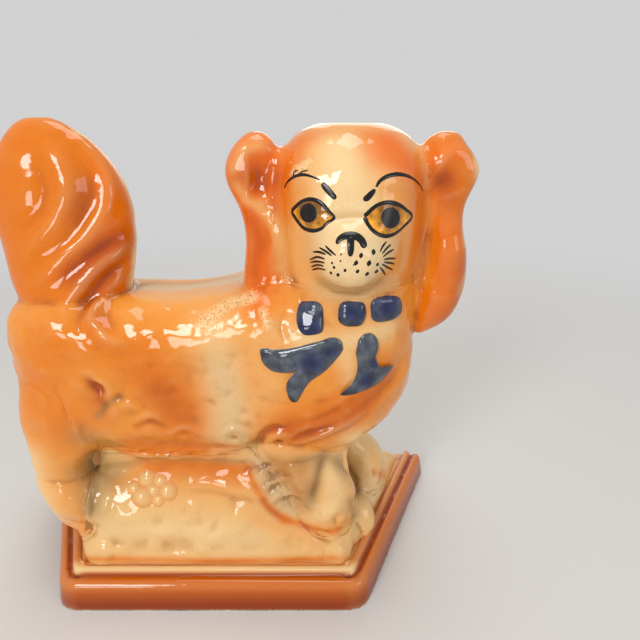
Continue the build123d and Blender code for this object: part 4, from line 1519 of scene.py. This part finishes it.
@dataclass
class Face:
    """The face's enamels, painted over the glaze: points are the photograph's pixels, widths are millimetres."""

    skin: Skin
    finishes: Finishes
    brow_lines: tuple[tuple[Points, tuple[float, ...]], ...] = (
        (((284.3, 188.4), (287, 182.5), (292.3, 177.7), (298, 175.4), (305.7, 175), (313, 177), (320, 180)),
         (0.8, 1.3, 1.4, 1.0, 0.5)),
        (((321.8, 183), (326, 188), (331, 193.5), (336, 199)), (1.9, 2.6, 2.4, 2.0)),
        (((363, 199.3), (367, 198), (371, 194), (375.4, 189.3)), (1.9, 2.6, 2.4, 1.4)),
        (((376, 187), (380, 181), (386, 177), (392, 175), (398.6, 174.2), (406, 175.4), (412.9, 178.6),
          (419, 184), (423.2, 191.1)), (1.1, 1.7, 1.8, 1.3, 0.7)),
        (((293, 176.5), (294.5, 172), (298, 170)), (1.2, 0.9, 0.6)),
        (((298, 175.6), (302, 171.6), (308, 170.4)), (1.0, 0.7, 0.5)),
        (((294, 177), (300, 174.2), (306, 174)), (1.2, 0.9, 0.7)),
    )
    right_eye: Points = (
        (291.4, 211.6), (296, 206.5), (302, 201.5), (309.3, 199.4), (316, 200.6), (323, 205), (328.6, 211.4),
        (333.8, 217.9), (327, 223), (321, 228.6), (312.9, 230.6), (304, 228), (298, 221.5),
    )
    left_eye: Points = (
        (364.6, 217), (370, 211), (377, 205.5), (384, 203), (391.4, 202.8), (399, 205), (405.5, 209.4),
        (412, 216.4), (404, 226), (395, 233.5), (385.2, 236), (375.5, 232.5), (368.5, 225),
    )
    # Each pupil's centre and radius in pixels, and how much taller than wide it is.
    right_pupil: tuple[float, float, float] = (308.8, 212.9, 8.6)
    left_pupil: tuple[float, float, float] = (390.5, 217.9, 9.4)
    pupil_tallness: float = 1.12
    # The brown of an eye's wash: how strong it is under the lid and round the pupil, at most, and how far it reaches.
    lid_shade: float = 0.75
    pupil_shade: float = 0.8
    most_shade: float = 0.85
    pupil_shade_mm: float = 6.0
    outline_widths: tuple[float, ...] = (2.1, 1.6, 2.0, 1.5, 1.6, 1.9, 2.1)
    nose_lines: tuple[tuple[Points, tuple[float, ...]], ...] = (
        (((336.5, 244), (339.5, 239), (345, 236), (350.8, 235.2), (357, 236.6), (362, 240.8), (365, 248)),
         (1.8, 3.0, 3.6, 3.4, 3.2)),
        (((350.6, 237), (350.8, 246), (350.4, 256.6)), (3.0, 2.8, 2.6, 1.8)),
    )
    # Whisker strokes from root to tip, and the muzzle's dots as x, y and half length.
    whiskers: tuple[Points, ...] = (
        ((336, 255.5), (330, 250.5), (325, 245.5)), ((332, 256), (326, 251.5), (319, 247.5)),
        ((326, 254.5), (319, 252), (312.5, 252)), ((325, 259), (317, 257), (309.5, 260)),
        ((325, 263), (317, 261.5), (310, 262.5)), ((324, 266), (317, 265), (311, 267)),
        ((326, 270), (318, 268.5), (312, 270)),
        ((380, 252), (383, 246), (386.5, 241.5)), ((382, 254), (387, 248), (391, 244.5)),
        ((383, 257), (389, 252), (394, 249.5)), ((384, 259.5), (390, 258.5), (396, 258.5)),
        ((384, 262), (390, 263), (395, 264)), ((382, 264), (387, 267), (393, 270)),
        ((380, 267), (383, 271), (385.5, 275)),
    )
    dots: Points = (
        (341, 254.5, 0.8), (340.5, 261, 0.9), (332, 263, 1.0), (334, 267.5, 1.3), (331, 273, 1.3), (338, 275, 1.6),
        (345, 270.5, 1.4), (361, 255.5, 1.8), (373.5, 252, 1.9), (356, 263, 1.9), (369, 263.3, 2.0),
        (357.5, 271.5, 1.6), (367, 274, 1.6), (376.5, 271.5, 1.4), (377.5, 264.5, 1.2), (353.6, 265, 0.7),
    )
    whisker_widths: tuple[float, ...] = (0.6, 1.0, 1.0, 0.6)
    # How thick the wash and the pupil are in the middle and how flat, and how high each enamel stands over the skin.
    wash_dome: tuple[float, float] = (0.08, 1.0)
    pupil_dome: tuple[float, float] = (0.12, 0.6)
    wash_lift_mm: float = 0.06
    pupil_lift_mm: float = 0.12
    outline_lift_mm: float = 0.24
    nose_lift_mm: float = 0.3
    whisker_lift_mm: float = 0.12

    def eye(self, name: str, outline: Points, pupil: tuple[float, float, float]) -> None:
        """Paints one eye: amber wash, umber pupil and black outline.

        Args:
            name: Which eye.
            outline: Its outline's pixels.
            pupil: The pupil's centre and radius in pixels.
        """
        wash = Overlay(self.skin)
        wash.patch(outline, *self.wash_dome, lift=self.wash_lift_mm)
        spots = np.vstack(wash.points)
        height = spots[:, 2]
        high = np.clip((height - height.min()) / np.ptp(height), 0, 1)
        x, y, radius = pupil
        from_pupil = np.linalg.norm(spots - self.skin.seen_at(x, y)[0], axis=1)
        shade = self.lid_shade * high**2 + self.pupil_shade * bell(from_pupil, self.pupil_shade_mm, 4)
        gold = np.array(linear(Tone.AMBER))
        colours = blended(gold, Tone.BURNT_AMBER, np.clip(shade, 0, self.most_shade))
        dress(wash.piece(name + "_amber_wash", colours), (), None, self.finishes.amber)
        dark = Overlay(self.skin)
        ring = tuple((x + radius * math.cos(turn), y + radius * self.pupil_tallness * math.sin(turn))
                     for turn in np.linspace(0, 2 * math.pi, 14, endpoint=False))
        dark.patch(ring, *self.pupil_dome, lift=self.pupil_lift_mm, parts=3)
        dress(dark.piece(name + "_pupil"), (), None, self.finishes.pupil)
        edge = Overlay(self.skin)
        edge.line((*outline, outline[0]), self.outline_widths, lift=self.outline_lift_mm)
        dress(edge.piece(name + "_outline"), (), None, self.finishes.black)

    def paint(self) -> None:
        """Paints the brows, the eyes, the nose and the whiskers with their dots."""
        brows = Overlay(self.skin)
        for points, widths in self.brow_lines:
            brows.line(points, widths)
        dress(brows.piece("brow_enamel"), (), None, self.finishes.black)
        self.eye("right_eye", self.right_eye, self.right_pupil)
        self.eye("left_eye", self.left_eye, self.left_pupil)
        nose = Overlay(self.skin)
        for points, widths in self.nose_lines:
            nose.line(points, widths, lift=self.nose_lift_mm)
        dress(nose.piece("nose_enamel"), (), None, self.finishes.black)
        marks = Overlay(self.skin)
        for points in self.whiskers:
            marks.line(points, self.whisker_widths, lift=self.whisker_lift_mm)
        for x, y, size in self.dots:
            reach = size * 1.05
            marks.line(((x - reach, y - reach * 0.2), (x, y), (x + reach, y + reach * 0.3)),
                       (size, size * 1.4, size), lift=self.whisker_lift_mm)
        dress(marks.piece("whisker_enamel"), (), None, self.finishes.black)


@dataclass(frozen=True)
class Sprig:
    """One raised sprig: its node, its height, how blue it is from 0 to 1, and the pixels of its outline."""

    node: str
    height_mm: float
    blueness: float
    outline: Points


@dataclass
class RibbonCollar:
    """The raised studs and forked ribbon ends of the collar, washed with cobalt."""

    skin: Skin
    finishes: Finishes
    sprigs: tuple[Sprig, ...] = (
        Sprig("collar_stud_1", 2.6, 0.55, (
            (301, 301.4), (310, 300.6), (318.2, 301.4), (322.8, 306.2), (323.8, 317), (323.5, 328), (320, 333.6),
            (306.3, 335.6), (299.4, 330.9), (296.2, 320), (297.5, 308.2))),
        Sprig("collar_stud_2", 2.6, 0.55, (
            (342.9, 300.9), (353, 300.2), (362.7, 301.8), (365.7, 308.2), (365.1, 318), (360.7, 325), (352, 326.4),
            (344.9, 325.8), (338.6, 321), (337.8, 312.1), (339.6, 304.2))),
        Sprig("collar_stud_3", 2.6, 0.55, (
            (376.5, 296.3), (388, 295), (398, 296.6), (401.2, 304), (400, 313), (392.3, 319.6), (378.5, 322.2),
            (371.4, 319), (369.8, 310.1), (371, 301))),
        Sprig("right_ribbon_end", 2.2, 0.2, (
            (259, 349), (264, 347.6), (278, 349), (296, 346.4), (318, 341), (333, 336.6), (341, 340), (343.5, 349),
            (336, 360), (324, 372), (309, 383), (300, 397), (296, 402.5), (290, 400.5), (286, 389), (288, 380),
            (296, 371), (285, 373), (272, 371), (262, 362))),
        Sprig("left_ribbon_end", 2.2, 0.2, (
            (358, 339.5), (363, 333.6), (371, 332.4), (377, 338), (378, 347), (375.4, 354), (378.6, 364.8),
            (386, 367.6), (393, 364.6), (388.6, 372.6), (377, 384), (362, 391.5), (348, 395.4), (339, 394.8),
            (346, 390.6), (354.4, 378), (357, 366), (355.6, 352))),
    )
    # Where the cobalt pooled deep blue, and where the brush left ink-dark tips: x, y and reach in millimetres.
    pools: Points = ((312, 361, 6.5), (330, 350, 4.0), (373, 361, 4.0), (366, 378, 5.0), (309, 327, 7.0),
                     (351, 312, 5.5), (386, 306, 6.5))
    tips: Points = ((262, 355, 2.6), (291, 400, 3.2), (343, 394, 3.0), (392, 366, 2.0), (354, 391, 2.0),
                    (352, 324, 3.0), (386, 320, 3.0))
    tip_share: float = 0.85
    # How flat the sprigs are, the size and strength of the wash's clouds, and the share of a sprig that is pale rim.
    flatness: float = 0.3
    cloud_mm: float = 3.4
    cloud_share: float = 0.5
    rim_share: float = 0.03

    def lay(self) -> None:
        """Lays every raised sprig with its wash, pale at the rim and clouded on top."""
        for sprig in self.sprigs:
            form = Overlay(self.skin)
            inward = form.patch(sprig.outline, sprig.height_mm, self.flatness, lift=0.0, parts=4)
            spots = np.vstack(form.points)
            cloud = np.array([noise.noise(Vector(spot) / self.cloud_mm) for spot in spots.tolist()])
            deep = np.clip(sprig.blueness + self.cloud_share * cloud, 0, 1)
            deep = np.maximum(deep, self.nearness(spots, self.pools))
            colours = np.outer(1 - deep, linear(Tone.GREY_COBALT)) + np.outer(deep, linear(Tone.COBALT))
            colours = blended(colours, Tone.INK, self.tip_share * self.nearness(spots, self.tips))
            colours = blended(colours, Tone.CREAM, np.clip(1 - inward / self.rim_share, 0, 1))
            piece = form.piece(sprig.node + "_washed", colours)
            dress(piece, (sprig.node,), "cobalt_glaze", self.finishes.cobalt)

    def nearness(self, spots: np.ndarray, marks: Points) -> np.ndarray:
        """How near some spots are to the nearest of some marks.

        Args:
            spots: The spots in millimetres.
            marks: The marks' pixels, each with its reach in millimetres.

        Returns:
            The nearness of each spot, from 0 to 1.
        """
        share = np.zeros(len(spots))
        for x, y, reach in marks:
            away = np.linalg.norm(spots - self.skin.seen_at(x, y)[0], axis=1)
            share = np.maximum(share, bell(away, reach, 4))
        return share


@dataclass
class GroundRosette:
    """The small rosette of domed petals pressed on the bank, glazed with it."""

    # The petals and the button in their middle: centre and radius in pixels.
    petals: Points = ((134, 488, 8.0), (143, 496, 13.0), (158, 500, 8.0), (168, 491, 11.0), (160, 481, 8.0),
                      (147, 479, 10.0))
    button: tuple[float, float, float] = (153, 490, 9.0)
    # A petal's height for each pixel of its radius, how flat its dome is, and how thin and deep its edge runs out.
    steepness: float = 0.16
    flatness: float = 0.5
    thin_edge: float = 1.3
    edge_lift_mm: float = -0.1
    # How orange the creases between the petals are, and how much of a petal they take.
    crease_share: float = 0.6
    crease_width: float = 0.6

    def lay(self, skin: Skin, finishes: Finishes) -> None:
        """Lays the petals as one piece.

        Args:
            skin: The carved skin.
            finishes: The figure's finishes.
        """
        form = Overlay(skin)
        inward = []
        for x, y, radius in (*self.petals, self.button):
            ring = tuple((x + radius * math.cos(turn), y + radius * math.sin(turn))
                         for turn in np.linspace(0, 2 * math.pi, 10, endpoint=False))
            inward.append(form.patch(ring, self.steepness * radius, self.flatness, lift=self.edge_lift_mm, parts=2,
                                     edge=self.thin_edge))
        crease = self.crease_share * np.clip(1 - np.concatenate(inward) / self.crease_width, 0, 1)
        colours = blended(np.array(linear(Tone.GROUND_CREAM)), Tone.ORANGE, crease)
        dress(form.piece("ground_rosette_glazed", colours), ("ground_rosette",), "cream_glaze", finishes.glaze)


@dataclass
class Plinth:
    """The plinth casting: its mouldings, their colours and the wiped foot."""

    voxel_mm: float = 1.15
    quick_voxel_mm: float = 1.8
    wipes: int = 3
    front_length_mm: float = 162.0
    back_length_mm: float = 268.0
    # Heights: the glaze's edge over the foot, the deck and how far it is filled, the band's top and its hollow's.
    foot_mm: float = 1.0
    deck_mm: float = 15.0
    deck_fill_mm: float = 2.0
    band_mm: float = 16.5
    hollow_mm: float = 11.5
    # Distances from the outline: the wall, the groove, the bead and its inner side.
    wall_mm: float = 6.0
    groove_mm: float = 7.7
    bead_mm: float = 11.1
    bead_inner_mm: float = 13.3
    # The band's rounded shoulder: where it starts and how far in it goes.
    shoulder_foot_mm: float = 5.0
    shoulder_mm: float = 5.0
    # The deck's fill: the run from the bead, from the back edge and from there up, and the slack below the deck.
    fill_run_mm: float = 1.2
    back_margin_mm: float = 8.0
    back_run_mm: float = 3.0
    deck_slack_mm: float = 1.2
    # The slips: half widths of groove and bead and where they start, and the run of dark into orange up the band.
    groove_half_mm: float = 1.5
    groove_from_mm: float = 10.0
    groove_share: float = 0.8
    bead_half_mm: float = 2.0
    bead_from_mm: float = 15.5
    back_bead_share: float = 0.15
    front_from_mm: float = 39.0
    front_run_mm: float = 6.0
    band_from_mm: float = 4.0
    band_run_mm: float = 12.0
    deck_share: float = 0.75

    def insets(self, points: np.ndarray) -> tuple[np.ndarray, np.ndarray]:
        """How far some points lie inside the plinth's outline.

        Args:
            points: The points in millimetres.

        Returns:
            The distance to the nearer of its front and its two slanting sides, and to its back.
        """
        low, high = (np.array(corner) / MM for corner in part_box("plinth"))
        x, y, _ = points.T
        slant = (self.back_length_mm - self.front_length_mm) / 2 / (high[1] - low[1])
        half = self.front_length_mm / 2 + slant * (y - low[1])
        return np.minimum((half - np.abs(x)) / math.hypot(1, slant), y - low[1]), high[1] - y

    def round_shoulder(self, skin: Skin) -> None:
        """Rounds the band's upper edge to a quarter of an ellipse along the front and the sides.

        Args:
            skin: The plinth's skin.
        """
        inset, _ = self.insets(skin.points)
        step_mm = 0.01
        inward = np.stack([(self.insets(skin.points + np.array(shift) * step_mm)[0] - inset) / step_mm
                           for shift in ((1, 0, 0), (0, 1, 0))], axis=1)
        reach = np.clip(self.shoulder_mm - inset, 0, self.shoulder_mm)
        rise = np.clip(skin.points[:, 2] - self.shoulder_foot_mm, 0, None)
        across, up = reach / self.shoulder_mm, rise / (self.band_mm - self.shoulder_foot_mm)
        give = 1 - 1 / np.maximum(np.hypot(across, up), 1)
        give *= (across > 0) & (up > 0)
        skin.points[:, :2] += inward * (reach * give)[:, None]
        skin.points[:, 2] -= rise * give

    def fill_deck(self, skin: Skin) -> None:
        """Raises the deck inside the bead, where the photograph shows hardly any trench.

        Args:
            skin: The plinth's skin.
        """
        inset, from_back = self.insets(skin.points)
        filled = np.clip((inset - self.bead_inner_mm) / self.fill_run_mm, 0, 1)
        filled *= np.clip((from_back - self.back_margin_mm) / self.back_run_mm, 0, 1)
        filled *= (skin.points[:, 2] > self.deck_mm - self.deck_slack_mm) & (skin.normals[:, 2] > 0.2)
        skin.points[:, 2] += self.deck_fill_mm * filled
        skin.refresh()

    def spray(self, skin: Skin) -> None:
        """Sprays the band orange over dark rust, the groove dark, the bead cream and the deck peach.

        Args:
            skin: The plinth's skin.
        """
        inset, _ = self.insets(skin.points)
        y, z = skin.points[:, 1], skin.points[:, 2]
        rise = np.clip((z - self.band_from_mm) / self.band_run_mm, 0, 1)
        groove = bell(inset - self.groove_mm, self.groove_half_mm) * (z > self.groove_from_mm)
        front = np.clip((-y - self.front_from_mm) / self.front_run_mm, self.back_bead_share, 1)
        bead = bell(inset - self.bead_mm, self.bead_half_mm, 4) * (z > self.bead_from_mm) * front
        deck = (inset > self.bead_inner_mm - 0.3) & (z > self.deck_mm - self.deck_slack_mm)
        skin.colour = np.tile(linear(Tone.DARK_RUST), (len(z), 1))
        for tone, share in ((Tone.BURNT_ORANGE, rise), (Tone.DARK_RUST, self.groove_share * groove),
                            (Tone.CREAM, bead), (Tone.PEACH, self.deck_share * deck)):
            skin.colour = blended(skin.colour, tone, share)

    def finish(self, finishes: Finishes) -> None:
        """Builds, sprays and dresses the plinth.

        Args:
            finishes: The figure's finishes.
        """
        voxel = self.voxel_mm
        skin = Skin(("plinth",), voxel, self.wipes)
        self.round_shoulder(skin)
        self.fill_deck(skin)
        self.spray(skin)
        piece = skin.pieces("_glazed")["plinth"]
        dress(piece, ("plinth",), "orange_glaze", finishes.glaze, finishes.clay)
        self.wipe_foot(piece)

    def wipe_foot(self, piece: bpy.types.Object) -> None:
        """Wipes the foot and the hollow bare, down to the second of the plinth's materials.

        Args:
            piece: The plinth.
        """
        centres = np.zeros(len(piece.data.polygons) * 3)
        piece.data.polygons.foreach_get("center", centres)
        centres = centres.reshape(-1, 3) / MM
        inset, from_back = self.insets(centres)
        inside = (centres[:, 2] < self.hollow_mm) & (np.minimum(inset, from_back) > self.wall_mm)
        under = (centres[:, 2] < self.foot_mm) | inside
        piece.data.polygons.foreach_set("material_index", under.astype(np.int32))


@dataclass(frozen=True)
class Softbox:
    """A square softbox: its place and side in metres, its watts, and how strongly the glaze mirrors it."""

    name: str
    place: tuple[float, float, float]
    side: float
    watts: float
    glints: float = 1.0


@dataclass
class Studio:
    """Pale floor, soft lamps and the photograph's camera."""

    softboxes: tuple[Softbox, ...] = (
        Softbox("key_softbox", (-0.52, -0.96, 0.76), 0.34, 5.6),
        Softbox("window_softbox", (-0.44, -0.95, 0.27), 0.24, 1.5),
        Softbox("top_softbox", (0.05, 0.05, 1.30), 0.60, 4.6, 0.3),
        Softbox("fill_softbox", (1.00, -0.70, 0.50), 0.50, 2.0, 0.3),
        Softbox("back_softbox", (0.2, 1.2, 0.8), 0.80, 2.8),
    )
    aim_m: tuple[float, float, float] = (0, 0, 0.12)
    # The floor's size, how far out it still takes a shadow, and from where on it is even.
    floor_m: float = 40.0
    shadow_m: float = 0.30
    far_m: float = 0.95
    # How bright the surround is to the camera, and how bright the sky is as a light.
    surround: float = 0.64
    sky: float = 0.46

    def set_up(self) -> None:
        """Builds the studio."""
        CAMERA.set_up()
        self.floor()
        for softbox in self.softboxes:
            self.hang(softbox)
        self.world()
        bpy.context.scene.view_settings.view_transform = "Standard"

    def floor(self) -> None:
        """Lays the floor: pale grey, and to the camera and reflections an even grey beyond the shadow."""
        deselect()
        bpy.ops.mesh.primitive_plane_add(size=self.floor_m, location=(0, 0, 0))
        plane = bpy.context.object
        plane.name = "studio_floor"
        material, tree, output = blank_material("painted_board")
        board = node(tree, "BsdfPrincipled", {"Base Color": (*linear(Tone.FLOOR), 1), "Roughness": 0.9})
        where = node(tree, "TexCoord").outputs["Object"]
        away = node(tree, "VectorMath", {0: where}, operation="LENGTH")
        beyond = node(tree, "MapRange", {"Value": away.outputs["Value"], "From Min": self.shadow_m,
                                         "From Max": self.far_m}, interpolation_type="SMOOTHSTEP")
        share = node(tree, "Math", {0: beyond.outputs[0], 1: self.seen(tree)}, operation="MULTIPLY")
        even = node(tree, "Emission", {"Color": (1, 1, 1, 1), "Strength": self.surround})
        shader = node(tree, "MixShader", {0: share.outputs[0], 1: board.outputs[0], 2: even.outputs[0]})
        tree.links.new(shader.outputs[0], output.inputs[0])
        plane.data.materials.append(material)

    def hang(self, softbox: Softbox) -> None:
        """Hangs one softbox, aimed at the figure.

        Args:
            softbox: The softbox.
        """
        data = bpy.data.lights.new(softbox.name, "AREA")
        data.shape = "SQUARE"
        data.size = softbox.side
        data.energy = softbox.watts
        data.specular_factor = softbox.glints
        lamp = bpy.data.objects.new(softbox.name, data)
        lamp.location = softbox.place
        away = Vector(softbox.place) - Vector(self.aim_m)
        lamp.rotation_euler = away.to_track_quat("Z", "Y").to_euler()
        bpy.context.scene.collection.objects.link(lamp)

    @staticmethod
    def seen(tree: bpy.types.NodeTree) -> bpy.types.NodeSocket:
        """Tells what the camera sees from what only lights the figure.

        Args:
            tree: The node tree that asks.

        Returns:
            An output that is 1 for what is seen straight, mirrored or through glass, and else 0.
        """
        path = node(tree, "LightPath")
        looks = node(tree, "Math", {0: path.outputs["Is Camera Ray"], 1: path.outputs["Is Glossy Ray"]},
                     operation="MAXIMUM")
        all_ways = node(tree, "Math", {0: looks.outputs[0], 1: path.outputs["Is Transmission Ray"]},
                        operation="MAXIMUM")
        return all_ways.outputs[0]

    def world(self) -> None:
        """Sets a plain grey sky, a little paler to the camera and to reflections."""
        world = bpy.data.worlds.new("studio_world")
        bpy.context.scene.world = world
        world.use_nodes = True
        tree = world.node_tree
        tree.nodes.clear()
        strength = node(tree, "MapRange", {"Value": self.seen(tree), "To Min": self.sky, "To Max": self.surround})
        sky = node(tree, "Background", {"Color": (1, 1, 1, 1), "Strength": strength.outputs[0]})
        output = node(tree, "OutputWorld")
        tree.links.new(sky.outputs[0], output.inputs[0])


def main() -> None:
    """Builds every class in order."""
    logging.basicConfig(level=logging.INFO, format="%(name)s: %(message)s")
    Studio().set_up()
    finishes = Finishes.made()
    dog = DogCastings()
    dog.spray()
    Face(dog.skin, finishes).paint()
    RibbonCollar(dog.skin, finishes).lay()
    GroundRosette().lay(dog.skin, finishes)
    dog.finish(finishes)
    Plinth().finish(finishes)
    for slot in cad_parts["base_slab"].material_slots:
        slot.material = finishes.clay


if __name__ == "__main__":
    main()
